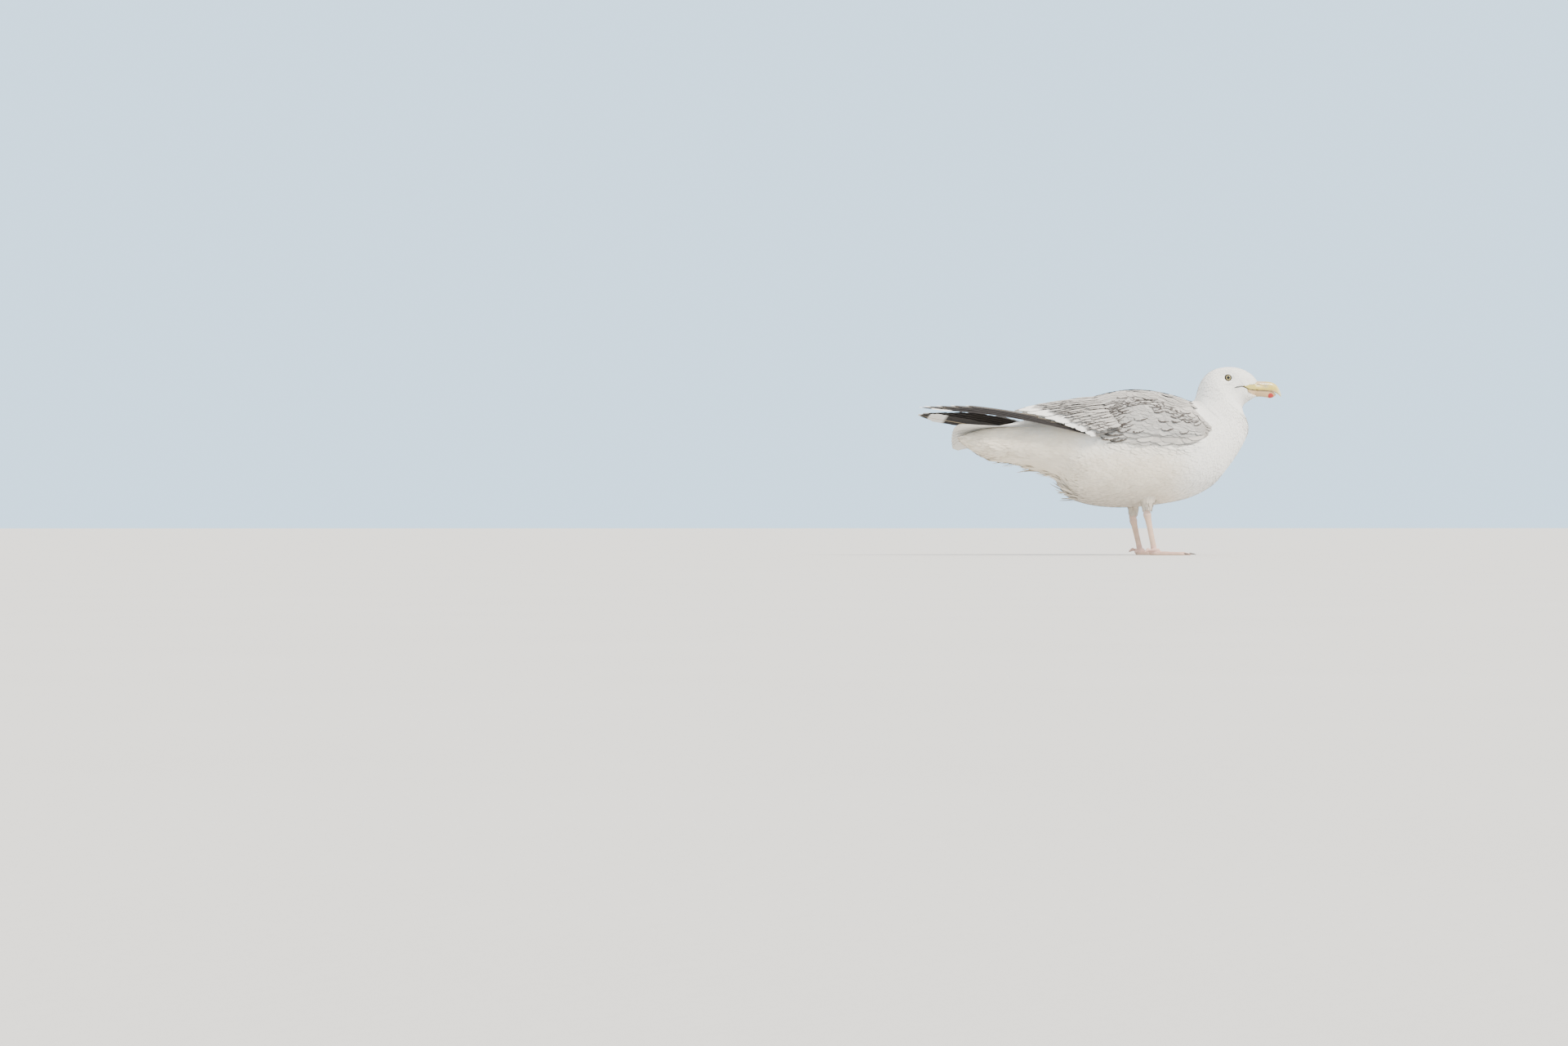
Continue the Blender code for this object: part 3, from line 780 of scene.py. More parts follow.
@dataclass(frozen=True)
class FeatherFinish(Finish):
    """Feathers: barbs across the vane, a shaft down its middle and a dark edge, part wear and part painted
    shadow of the gaps between feathers.
    """

    uneven: float = 0.06
    barbs: float = 46.0  # pairs along a vane
    shaft: tuple[float, float, float] = WHITE
    shaft_share: float = 0.25
    edge_pale: float = 0.0

    def dress(self, board: MaterialBoard) -> None:
        """Adds the colour, roughness and relief.

        Args:
            board: the material's nodes.
        """
        vane = board.add("ShaderNodeSeparateXYZ", {0: board.attribute("vane", "Vector")})
        along, across, chance = vane.outputs
        off = board.maths("ABSOLUTE", across)
        strands = board.add("ShaderNodeCombineXYZ", {
            0: board.maths("MULTIPLY", board.maths("MULTIPLY_ADD", off, -0.22, along), self.barbs),
            1: board.maths("MULTIPLY", across, 1.6),
            2: board.maths("MULTIPLY", chance, 37.0),
        })
        barb = board.noise(1.0, 3.0, strands.outputs[0], 0.6)
        broad = board.vary(board.noise(self.mottle_scale), 0.3, self.mottle)
        shade = board.maths("MULTIPLY", board.vary(barb, 0.25, self.grain, 0.5), broad)
        shade = board.maths("MULTIPLY", shade, board.fit(chance, 0.0, 1.0, 0.97, 1.02))
        colour = board.vector("SCALE", board.attribute("tint", "Color"), shade)
        rim = board.maths("MAXIMUM", board.fit(off, 0.38, 0.92, 0, 1), board.fit(along, 0.76, 0.97, 0, 1))
        if self.edge_pale:
            colour = board.mix(board.maths("MULTIPLY", rim, self.edge_pale), colour, VANE_EDGE)
        colour = board.mix(board.fit(off, 0.035, 0.085, self.shaft_share, 0.0), colour, self.shaft)
        # dark ragged edges: wear, and painted shadow of the gaps between feathers
        colour = board.mix(self.worn_edge(board, rim, barb, across), colour, EDGE_WEAR_AND_SHADE)
        board.shade(Base_Color=colour)
        self.roughen(board, barb)
        board.bump(barb, self.depth)

    def worn_edge(self, board: MaterialBoard, rim: Socket, barb: Socket, across: Socket) -> Socket:
        """How dark the ragged edge is, mostly on the vane's outer side: wear, and painted shadow of the gaps
        between feathers.

        Args:
            board: the material's nodes.
            rim: how near the edge a point is.
            barb: the noise of the barbs.
            across: the place across the vane.

        Returns:
            The share of the dark colour.
        """
        ragged = board.maths("ADD", rim, board.fit(barb, 0.3, 0.7, -0.34, 0.26))
        ragged = board.maths("ADD", ragged, board.fit(board.noise(170.0, 2.0), 0.35, 0.65, -0.42, 0.16))
        dark = board.maths("MULTIPLY", board.fit(ragged, 0.22, 0.42, 0, 1), board.attribute("fringe", "Fac"))
        return board.maths("MULTIPLY", dark, board.fit(across, -0.30, 0.10, 0.25, 1.0))


@dataclass(frozen=True)
class ScuteFinish(Finish):
    """Leg skin: small rounded scales in the skin."""

    scale_size: float = 620.0

    def relief(self, board: MaterialBoard, fine: Socket) -> Socket:
        """The height of the scales, with the grain on them.

        Args:
            board: the material's nodes.
            fine: the grain.

        Returns:
            The height.
        """
        plugs = {"Vector": board.here(), "Scale": self.scale_size}
        cells = board.add("ShaderNodeTexVoronoi", plugs, feature="DISTANCE_TO_EDGE")
        plates = board.fit(cells.outputs["Distance"], 0.0, 0.22, 0.0, 1.0)
        return board.maths("MULTIPLY_ADD", fine, 0.25, plates)


@dataclass(frozen=True)
class HornFinish(Finish):
    """Bill and claw horn: fine streaks that run along it."""

    stretch: float = 0.12

    def relief(self, board: MaterialBoard, fine: Socket) -> Socket:
        """The height of the growth streaks.

        Args:
            board: the material's nodes.
            fine: the grain.

        Returns:
            The height.
        """
        plugs = {"Vector": board.here(), "Scale": (self.stretch, 1.0, 1.0)}
        place = board.add("ShaderNodeMapping", plugs)
        streaks = board.noise(self.grain_scale, 4.0, place.outputs[0])
        return board.maths("MULTIPLY_ADD", fine, 0.35, streaks)


SKIN_FINISH = Finish("gull_skin", 0.8, 0.05, 60.0, 0.08, 900.0, 0.00025, sheen=0.1, specular=0.25)
DOWN_FINISH = FeatherFinish(
    "white_feathers", 0.82, 0.035, 55.0, 0.07, 1.0, 0.00012, sheen=0.18, specular=0.2, shaft_share=0.10
)
MANTLE_FINISH = FeatherFinish(
    "grey_feathers", 0.74, 0.05, 60.0, 0.11, 1.0, 0.00018, sheen=0.10, specular=0.25,
    shaft=(0.34, 0.32, 0.30), shaft_share=0.30, edge_pale=0.10,
)
QUILL_FINISH = FeatherFinish(
    "flight_feathers", 0.62, 0.06, 60.0, 0.16, 1.0, 0.00022, specular=0.22, barbs=150.0,
    shaft=(0.42, 0.33, 0.22), shaft_share=0.8,
)
TAIL_FINISH = FeatherFinish(
    "tail_feathers", 0.72, 0.03, 50.0, 0.07, 1.0, 0.0002, sheen=0.12, specular=0.25, barbs=120.0,
    shaft=(0.80, 0.76, 0.66), shaft_share=0.6,
)
LEG_FINISH = ScuteFinish("leg_scales", 0.5, 0.14, 110.0, 0.10, 1400.0, 0.00011, coat=0.08, specular=0.4)
BILL_FINISH = HornFinish("bill_surface", 0.34, 0.08, 120.0, 0.07, 1500.0, 0.00010, coat=0.18)
CLAW_FINISH = HornFinish("claw_surface", 0.34, 0.15, 300.0, 0.12, 2500.0, 0.00008, coat=0.2)
EYE_FINISH = Finish(
    "eye_surface", 0.14, 0.05, 400.0, 0.18, 3800.0, 0.00001, coat=0.45, specular=0.2, gloss_width=0.02
)


@dataclass(frozen=True)
class StageFinish:
    """The floor's plain pale surface."""

    name: str
    colour: tuple[float, float, float]
    roughness: float

    def material(self) -> bpy.types.Material:
        """The material.

        Returns:
            The material.
        """
        board = MaterialBoard(self.name)
        low = tuple(0.97 * c for c in self.colour)
        grain = board.fit(board.noise(7.0, 6.0), 0.3, 0.7, 0, 1)
        board.shade(Base_Color=board.mix(grain, low, self.colour), Roughness=self.roughness)
        board.bump(board.noise(220.0, 4.0), 0.0002)
        return board.material


FLOOR_FINISH = StageFinish("studio_floor", (0.60, 0.585, 0.56), 0.85)


# --- the body's form ---

# Slices across the body from under the tail to the bill: x and z of the back, x and z of the
# belly, half the width, and how square the slice is.
RIBS = (
    (-194, 172, -193, 155, 16, 2.0),
    (-174, 179, -171, 140, 29, 2.1),
    (-150, 184, -148, 134, 35, 2.1),
    (-125, 189, -125, 130, 39, 2.1),
    (-100, 195, -103, 124, 43, 2.1),
    (-67, 204, -80, 116, 48, 2.1),
    (-35, 215, -58, 104, 55, 2.1),
    (-8, 225.5, -43, 82, 61, 2.1),
    (20, 233, -14, 71, 66, 2.1),
    (45, 235.5, 22, 67, 69, 2.1),
    (66, 235, 56, 68, 70, 2.1),
    (88, 232.5, 90, 72, 69, 2.1),
    (108, 227, 122, 78, 66, 2.1),
    (123, 223, 148, 88, 61, 2.1),
    (133, 222.5, 169, 102, 56, 2.1),
    (139, 223.5, 186, 122, 51, 2.05),
    (142, 227, 201, 142, 46, 2.0),
    (143.5, 232, 212, 161, 41.5, 2.0),
    (145, 238, 219, 178, 37.5, 2.0),
    (147, 244, 217, 193, 34, 2.0),
    (150.5, 251, 211, 204.5, 30.5, 2.0),
    (156.5, 258.5, 210, 212, 27.5, 2.05),
    (165, 265, 213.5, 216.8, 25.2, 2.1),
    (177, 269, 218, 220, 23.6, 2.15),
    (192, 270.5, 222, 222.7, 21.8, 2.2),
    (206, 268.6, 225.5, 224.8, 17.8, 2.2),
    (217, 264, 228.5, 226.3, 13.0, 2.2),
    (226, 257.5, 230.5, 227.3, 9.8, 2.2),
    (231.5, 250.5, 231.5, 228.2, 7.6, 2.2),
)
NECK_ROOT, JAW, BILL_ROOT = 15, 20, 28


@dataclass
class BodyForm:
    """The gull's outline, read by place along the body and angle round it.

    Angle 0 is the back, 90 the side and 180 the belly.
    """

    belly_sag: float = 0.10
    orbit_depth: float = 1.3
    orbit_spread: float = 9.5
    brow_height: float = 1.2
    brow_spread: float = 7.0
    brow_rise: float = 9.5
    cheek_height: float = 1.4
    cheek_spread: float = 13.0
    cheek_drop: float = 15.0
    cheek_back: float = 8.0
    probe_rows: int = 110
    probe_columns: int = 72

    def head_relief(self, x: Array, z: Array) -> Array:
        """How far the head's side stands out: brow and cheek, less the hollow of the eye.

        Args:
            x: the points' x.
            z: the points' z.

        Returns:
            One height for each point.
        """
        ex, ez = 185.0, 254.2
        brow = self.brow_height * hill(x, z, (ex + 2, ez + self.brow_rise), (self.brow_spread,) * 2)
        cheek = self.cheek_height * hill(
            x, z, (ex - self.cheek_back, ez - self.cheek_drop), (self.cheek_spread,) * 2
        )
        return brow + cheek - self.orbit_depth * hill(x, z, (ex, ez), (self.orbit_spread,) * 2)

    def point(self, place: Array, angle: Array, side: Array, out: Array = 0.0) -> Array:
        """Points of the surface, in millimetres of the pattern.

        Args:
            place: places along RIBS.
            angle: angles round the body, in degrees.
            side: the sign of Y.
            out: how far off the surface, along its normal.

        Returns:
            One point for each place.
        """
        place, angle, side, out = np.broadcast_arrays(
            *(np.atleast_1d(np.asarray(v, float)) for v in (place, angle, side, out))
        )
        shape = place.shape
        place, angle, side, out = (v.ravel() for v in (place, angle, side, out))
        s = catmull_rom(np.array(RIBS), place)
        power = 2 / s[:, 5]
        cos, sin = np.cos(np.radians(angle)), np.sin(np.radians(angle))
        along = np.sign(cos) * np.abs(cos) ** power
        across = np.sign(sin) * np.abs(sin) ** power
        x = (s[:, 0] + s[:, 2]) / 2 + (s[:, 0] - s[:, 2]) / 2 * along
        z = (s[:, 1] + s[:, 3]) / 2 + (s[:, 1] - s[:, 3]) / 2 * along
        trunk = np.clip((NECK_ROOT + 2 - place) / 4, 0, 1)
        width = s[:, 4] * (1 - self.belly_sag * trunk * along)
        relief = np.where(place > JAW - 2, self.head_relief(x, z), 0.0)
        points = np.stack([x, side * across * (width + relief), z], 1)
        if np.any(out):
            points = points + self.normal(place, angle, side) * out[:, None]
        return points.reshape(*shape, 3)

    def normal(self, place: Array, angle: Array, side: Array) -> Array:
        """The direction straight out of the surface.

        Args:
            place: places along the body.
            angle: angles round it.
            side: the sign of Y.

        Returns:
            One direction for each place.
        """
        side = np.broadcast_to(np.asarray(side, float), np.shape(place))
        fore = self.point(np.minimum(BILL_ROOT, place + 0.05), angle, side)
        aft = self.point(np.maximum(0, place - 0.05), angle, side)
        below = self.point(place, angle + 1.0, side)
        above = self.point(place, angle - 1.0, side)
        return unit(side[..., None] * np.cross(fore - aft, below - above))

    def probe(self, start: float, out: float) -> "SurfaceProbe":
        """A probe of the form from a place to the bill, moved out by a distance.

        Args:
            start: the first place.
            out: how far off the surface.

        Returns:
            The probe.
        """
        turn = 360.0 * np.arange(self.probe_columns) / self.probe_columns
        along = np.linspace(start, BILL_ROOT, self.probe_rows)
        place, turn = np.meshgrid(along, turn, indexing="ij")
        side = np.where(turn <= 180, -1.0, 1.0)
        points = self.point(place, np.where(turn <= 180, turn, 360 - turn), side, out)
        faces = grid_faces(self.probe_rows, self.probe_columns, closed=True)
        return SurfaceProbe(points.reshape(-1, 3), faces)

    def stretch(self, place: Array, angle: Array, side: int) -> Array:
        """How many millimetres lie from one place to the next.

        Args:
            place: places along the body.
            angle: angles round it.
            side: the sign of Y.

        Returns:
            One length for each place.
        """
        step = 0.2
        run = self.point(place - step, angle, side) - self.point(place, angle, side)
        return np.linalg.norm(run, axis=1) / step

    def rearwards(self, place: Array, angle: Array, side: Array) -> Array:
        """The direction along the surface towards the tail.

        Args:
            place: places along the body.
            angle: angles round it.
            side: the sign of Y.

        Returns:
            One direction for each place.
        """
        fore = self.point(np.minimum(BILL_ROOT, place + 0.08), angle, side)
        aft = self.point(np.maximum(0, place - 0.08), angle, side)
        return unit(aft - fore)


FORM = BodyForm()


class SurfaceProbe:
    """Finds where a straight line from the side meets a mesh."""

    def __init__(self, points: Array, faces: Sequence[Sequence[int]]) -> None:
        """Keeps a search tree of the mesh, whose points are in the pattern's millimetres."""
        self.tree = BVHTree.FromPolygons([tuple(p) for p in points], [tuple(f) for f in faces])

    def touch(self, x: float, z: float, side: int) -> tuple[Vector, Vector]:
        """The point and normal where a line along Y from that side meets the mesh.

        Args:
            x: the line's x.
            z: the line's z.
            side: the sign of Y.

        Returns:
            The point, and the normal that faces the side.
        """
        found, normal, _, _ = self.tree.ray_cast(Vector((x, side * 400.0, z)), Vector((0, -side, 0)))
        if found is None:
            return Vector((x, side * 5.0, z)), Vector((0, side, 0))
        if normal.y * side < 0:
            normal = -normal
        return found, normal


@dataclass
class Coat:
    """How deep, long and dense the small feathers are along the body, in millimetres."""

    places: tuple[float, ...] = (0, 1.2, 4, 8, 12, 15, 18, 20, 22, 24, 26, 28)
    depths: tuple[float, ...] = (7.0, 2.4, 2.4, 2.5, 2.4, 2.1, 1.8, 1.5, 1.2, 0.85, 0.55, 0.3)
    lengths: tuple[float, ...] = (13, 20, 22, 20, 17, 14, 11.5, 9.5, 7.5, 5.2, 3.6, 2.4)
    slimness: tuple[float, ...] = (0.34, 0.28, 0.25, 0.26, 0.29, 0.32, 0.36, 0.38, 0.42, 0.46, 0.50, 0.56)

    def depth(self, place: Array) -> Array:
        """How far the skin lies under the coat's outside."""
        return np.interp(place, self.places, self.depths)

    def length(self, place: Array) -> Array:
        """The full length of a feather."""
        return np.interp(place, self.places, self.lengths)

    def width(self, place: Array) -> Array:
        """The full width of a feather."""
        return self.length(place) * np.interp(place, self.places, self.slimness)

    def rise(self, place: Array) -> Array:
        """How far a feather climbs from root to tip."""
        return 0.62 * self.depth(place)


COAT = Coat()


@dataclass
class Skin:
    """The one skin over head, neck, trunk and rump, with the lids and the gape in it."""

    columns: int = 148
    trunk_rows: int = 120
    head_rows: int = 150
    head_start: float = 19
    lid_inner: float = 3.4
    lid_outer: float = 5.4
    lid_height: float = 0.6
    lid_turns: int = 64
    lid_steps: int = 9
    lid_long: float = 1.03  # how much longer than round the lids' ring is
    lid_high: float = 0.97
    dive_from: float = 4.6  # how far from the eye's middle the skin is quite under the ball
    dive_to: float = 5.25
    dive_depth: float = 1.9

    def build(self) -> SurfaceProbe:
        """Makes the skin.

        Returns:
            A probe of its surface, for what is set into it.
        """
        places = np.concatenate([
            np.linspace(0, self.head_start, self.trunk_rows, endpoint=False),
            np.linspace(self.head_start, BILL_ROOT, self.head_rows),
        ])
        turn = 360.0 * np.arange(self.columns) / self.columns
        place, turn = np.meshgrid(places, turn, indexing="ij")
        side = np.where(turn <= 180, Side.RIGHT.value, Side.LEFT.value)
        angle = np.where(turn <= 180, turn, 360 - turn)
        bare = self.bare_relief(FORM.point(place, angle, side).reshape(-1, 3)).reshape(place.shape)
        points = FORM.point(place, angle, side, bare - COAT.depth(place)).reshape(-1, 3)
        points = self.sink_eyes(points)
        faces = grid_faces(len(places), self.columns, closed=True)
        count = len(points)
        last = count - self.columns
        for c in range(self.columns):
            d = (c + 1) % self.columns
            faces += [(d, c, count), (last + c, last + d, count + 1)]
        points = np.vstack([points, points[: self.columns].mean(0), points[last:].mean(0)])
        tint = MARKINGS.face(points)
        probe = SurfaceProbe(points, faces)
        for each in Side:
            ring, ring_faces, ring_tint = self.lid(each.value, probe, len(points))
            points, tint = np.vstack([points, ring]), np.vstack([tint, ring_tint])
            faces += ring_faces
        skin = make_mesh("skin", metres(points), faces)
        store(skin.data, "tint", tint)
        face_outwards(skin.data)
        finish_piece(skin, SKIN_FINISH, ("head", "neck", "trunk", "rump"))
        return probe

    def bare_relief(self, points: Array) -> Array:
        """How far the skin sinks under the bill's horn and in the mouth's fold, and rises at its lips.

        Args:
            points: places in the pattern, in millimetres.

        Returns:
            One height for each point.
        """
        x, z = points[:, 0], points[:, 2]
        off = line_distance(x, z, MOUTH_LINE)
        fold = ridge(off, 0.9) * (x < 234)
        lips = ridge(off - 1.7, 0.8) * smoothstep(198, 204, x)
        horn = (0.2 + 1.7 * smoothstep(219, 229, x)) * MARKINGS.horn_share(x, z)
        return -horn - 0.5 * fold + 0.3 * lips

    def sink_eyes(self, points: Array) -> Array:
        """Draws the skin in under each eyeball, and keeps it over the ball's rim.

        Args:
            points: the skin's points.

        Returns:
            The moved points.
        """
        off = np.hypot((points[:, 0] - EYE_AT[0]) / self.lid_long, (points[:, 2] - EYE_AT[1]) / self.lid_high)
        width = np.abs(points[:, 1])
        ball = EYE_OUT + np.sqrt(np.maximum(EYE_RADIUS**2 - off**2, 0))
        share = 1 - smoothstep(self.dive_from, self.dive_to, off)
        inner = np.minimum(width, ball - self.dive_depth)
        raised = np.maximum(width, np.where(off > 5.2, ball + 0.1, 0.0))
        depth = raised * (1 - share) + inner * share
        near = (off < 6.8) & (width > 8)
        points = points.copy()
        points[:, 1] = np.where(near, np.sign(points[:, 1]) * depth, points[:, 1])
        return points

    def lid(self, side: int, probe: SurfaceProbe, start: int) -> tuple[Array, list[Face], Array]:
        """The raised bare ring of the lids, which closes on the eyeball; its near-black inner part is painted
        shade of the orbit.

        Args:
            side: the sign of Y.
            probe: the skin that it stands on.
            start: number of its first point.

        Returns:
            Its points, faces and colours.
        """
        points, tints = [], []
        for turn in np.linspace(0, 2 * math.pi, self.lid_turns, endpoint=False):
            across, up = math.cos(turn), math.sin(turn)
            foot_x = EYE_AT[0] + self.lid_outer * 1.16 * across
            foot_z = EYE_AT[1] + self.lid_outer * 1.1 * up
            skin_y = abs(probe.touch(foot_x, foot_z, side)[0].y)
            # the ring's near-black is painted shade of the eye's hollow
            dark = np.array(ORBIT_PAINTED_SHADE) * (0.9 + 0.35 * (0.5 + 0.5 * math.sin(11 * turn)))
            for step in np.linspace(0, 1, self.lid_steps):
                reach = self.lid_inner + (self.lid_outer - self.lid_inner) * step
                ball = EYE_OUT + math.sqrt(EYE_RADIUS**2 - reach**2)
                level = ball + 0.25 * step + (skin_y - ball - 0.6) * float(smoothstep(0.85, 1.0, step))
                swell = self.lid_height * math.sin(math.pi * min(1.0, step * 1.15)) ** 0.8
                edge = {0.0: -0.35, 1.0: -0.6}.get(step, 0.0)
                x = EYE_AT[0] + reach * self.lid_long * across
                z = EYE_AT[1] + reach * self.lid_high * up
                points.append((x, side * (level + swell + edge), z))
                tints.append(blend(dark, LID_SKIN, smoothstep(0.72, 1.0, step)))
        ring = np.arange(self.lid_turns * self.lid_steps).reshape(self.lid_turns, self.lid_steps) + start
        after = np.roll(ring, -1, axis=0)
        quads = np.stack([ring[:, :-1], after[:, :-1], after[:, 1:], ring[:, 1:]], -1).reshape(-1, 4)
        return np.array(points), quads[:, ::-side].tolist(), np.array(tints)


@dataclass
class Eye:
    """One eyeball: dark pupil, pale iris with a dark rim, under a clear wet surface."""

    side: Side
    pupil: float = 2.25
    iris: float = 3.55
    turns: int = 48
    rings: int = 40
    ahead: float = 0.5  # how far it looks forwards, in degrees
    cornea: float = 0.15
    buried: float = 1.2  # how much smaller the ball is under the lids

    def build(self) -> None:
        """Makes the eyeball."""
        s = self.side.value
        centre = np.array([EYE_AT[0], s * EYE_OUT, EYE_AT[1]])
        turn = math.radians(self.ahead)
        axis = unit(np.array([math.sin(turn), s * math.cos(turn), 0.02]))
        right = unit(np.cross(axis, np.array([0, 0, 1.0])))
        up = np.cross(right, axis)
        points, tints = [centre + axis * (EYE_RADIUS + self.cornea)], [PUPIL_BLACK]
        for ring in range(1, self.rings):
            tilt = math.pi * (ring / self.rings) ** 1.5
            reach = EYE_RADIUS * math.sin(tilt)
            front = tilt < math.pi / 2
            under = float(smoothstep(4.0, 5.0, reach)) if front else 1.0
            dome = self.cornea * math.exp(-((reach / 3.2) ** 2)) * (1 - under) - self.buried * under
            for t in np.arange(self.turns) * 2 * math.pi / self.turns:
                ray = axis * math.cos(tilt) + (right * math.cos(t) + up * math.sin(t)) * math.sin(tilt)
                points.append(centre + ray * (EYE_RADIUS + dome))
                tints.append(self.ring_colour(reach if front else EYE_RADIUS, t))
        points.append(centre - axis * EYE_RADIUS)
        tints.append(EYE_BACK)
        back = len(points) - 1
        last = back - self.turns
        faces = grid_faces(self.rings - 1, self.turns, closed=True, start=1)
        for k in range(self.turns):
            j = (k + 1) % self.turns
            faces += [(0, 1 + k, 1 + j), (back, last + j, last + k)]
        ball = make_mesh(f"eyeball_{self.side.label}", metres(np.array(points)), faces)
        store(ball.data, "tint", np.array(tints))
        face_outwards(ball.data)
        finish_piece(ball, EYE_FINISH, (f"eye_{self.side.label}",))

    def ring_colour(self, reach: float, turn: float) -> Array:
        """The eye's colour at a spot of its surface.

        Args:
            reach: the distance from its axis, in millimetres.
            turn: the turn round it.

        Returns:
            The colour.
        """
        streaks = 1 + 0.10 * math.sin(17 * turn) + 0.06 * math.sin(41 * turn)
        iris = smoothstep(self.pupil - 0.12, self.pupil + 0.18, reach)
        colour = blend(np.array(PUPIL_BLACK), np.array(IRIS_PALE) * streaks, iris)
        return blend(colour, IRIS_RIM, smoothstep(self.iris - 0.5, self.iris - 0.1, reach))


# --- bill ---

# x, z of the culmen, z of the cutting edge, half the width.
UPPER_MANDIBLE = (
    (207, 241.6, 238.8, 14.6), (214, 243.6, 237.6, 13.8), (220, 246.0, 237.0, 12.2),
    (226, 248.4, 236.8, 10.5), (232, 249.8, 236.8, 8.9), (239, 249.8, 236.7, 7.5),
    (247, 249.4, 236.1, 6.3), (254, 248.1, 235.2, 5.3), (260, 244.7, 233.4, 4.3),
    (264, 239.6, 231.0, 3.2), (266.3, 234.4, 228.6, 2.1), (267.4, 230.2, 227.6, 0.8),
)
# x, z of the cutting edge, z of the keel, half the width.
LOWER_MANDIBLE = (
    (211, 238.0, 231.4, 10.0), (218, 237.7, 229.0, 10.2), (224, 237.4, 228.0, 9.2), (231, 237.3, 227.5, 7.6),
    (238, 237.2, 227.4, 6.2), (246, 236.6, 226.5, 5.2), (251, 235.8, 225.7, 4.4), (255.5, 234.2, 226.8, 3.3),
    (259.2, 231.6, 229.2, 1.3),
)


@dataclass
class Bill:
    """The two mandibles: a deep hooked upper one with slit nostrils, and a keeled lower one."""

    rows: int = 130
    columns: int = 64
    nostril: Hollow = (NOSTRIL_AT, (3.4, 0.8), 0.9)
    upper_flute: Hollow = ((236, 242.6), (12, 1.4), 0.35)
    lower_flute: Hollow = ((236, 230.6), (14, 1.2), 0.3)
    free_from: float = 231.3  # ahead of this x the horn stands clear of the face

    def build(self) -> None:
        """Makes both mandibles."""
        face = FORM.probe(18.0, 0.0)
        upper = self.half(UPPER_MANDIBLE, True)
        self.carve(upper, *self.nostril)
        self.carve(upper, *self.upper_flute)
        lower = self.half(LOWER_MANDIBLE, False)
        self.carve(lower, *self.lower_flute)
        for word, points, outline in (("upper", upper, HORN_SIDE), ("lower", lower, CHIN_SIDE)):
            points = self.meet_face(points, outline, face)
            piece = make_mesh(f"{word}_mandible", metres(points), tube_faces(self.rows, self.columns))
            store(piece.data, "tint", MARKINGS.horn(points))
            face_outwards(piece.data)
            finish_piece(piece, BILL_FINISH, (f"bill_{word}",))

    def half(self, table: Sequence[tuple[float, ...]], ridge_up: bool) -> Array:
        """The smooth form of one half of the bill.

        Args:
            table: its stations.
            ridge_up: whether its ridge is above its cutting edge.

        Returns:
            Its points, ring by ring from the root.
        """
        stations = catmull_rom(np.array(table), np.linspace(0, len(table) - 1, self.rows))
        outer = self.columns * 3 // 4
        inner = self.columns - outer
        points = []
        for x, top, bottom, half in stations:
            edge, keel = (bottom, top) if ridge_up else (top, bottom)
            for turn in np.arange(outer) * math.pi / (outer - 1):
                y = half * math.copysign(abs(math.cos(turn)) ** 0.85, math.cos(turn))
                z = edge + (keel - edge) * max(math.sin(turn), 0.0) ** 0.9
                points.append((x, y, z))
            for share in np.arange(1, inner + 1) / (inner + 1):
                hollow = 0.9 * math.sin(math.pi * share) * (1 if ridge_up else -1) * min(1.0, half / 4)
                points.append((x, -half * (1 - 2 * share), edge + hollow))
        return np.array(points)

    def carve(self, points: Array, at: Pair, spread: Pair, depth: float) -> None:
        """Presses a soft hollow into both sides of the horn."""
        pit = depth * hill(points[:, 0], points[:, 2], at, spread)
        points[:, 1] -= np.sign(points[:, 1]) * pit

    def meet_face(self, points: Array, outline: Sequence[Pair], face: SurfaceProbe) -> Array:
        """Lays the horn on the sides of the face inside an outline, and hides the rest of its root.

        Args:
            points: the mandible's points.
            outline: the bare horn's outline in the side view.
            face: the body's form.

        Returns:
            The moved points.
        """
        points = points.copy()
        bare = inside(points[:, 0], points[:, 2], outline, 0.45)
        for k in np.nonzero(points[:, 0] < self.free_from)[0]:
            x, y, z = points[k]
            side = 1 if y >= 0 else -1
            level = abs(face.touch(x, z, side)[0].y)
            free = float(smoothstep(217, 230, x))
            show = (level + 0.12) * (1 - free) + abs(y) * free
            hide = min(abs(y), level - 1.3)
            points[k, 1] = side * (hide + (show - hide) * bare[k])
        return points


@dataclass
class Gape:
    """The fold of the mouth, from the bill back under the eye: a raised tube coloured with painted shade of
    the fold.
    """

    side: Side
    thickness: float = 0.5
    height: float = 0.6
    raised: float = 0.55
    steps: int = 60
    sides: int = 8

    def build(self, probe: SurfaceProbe) -> None:
        """Makes the fold on the skin that the probe reads.

        Args:
            probe: finds the skin.
        """
        line = np.array(MOUTH_LINE)
        path = catmull_rom(line, np.linspace(0, len(line) - 1.3, self.steps))
        points = []
        for k, (x, z) in enumerate(path):
            found, normal = probe.touch(x, z, self.side.value)
            size = self.thickness * min(1.0, 0.25 + 3.5 * k / (self.steps - 1))
            ahead = path[min(k + 1, self.steps - 1)] - path[max(k - 1, 0)]
            across = Vector((ahead[0], 0, ahead[1])).normalized().cross(normal).normalized()
            centre = found + normal * self.raised
            for turn in np.arange(self.sides) * 2 * math.pi / self.sides:
                up = normal * self.height * math.sin(turn)
                points.append(centre + across * size * math.cos(turn) + up)
        faces = tube_faces(self.steps, self.sides)
        fold = make_mesh(f"gape_{self.side.label}", metres(np.array(points)), faces)
        # the fold's colour is painted shade
        store(fold.data, "tint", layered(PAINTED_CREVICE_SHADE, len(points)))
        face_outwards(fold.data)
        finish_piece(fold, SKIN_FINISH)


# --- feathers ---


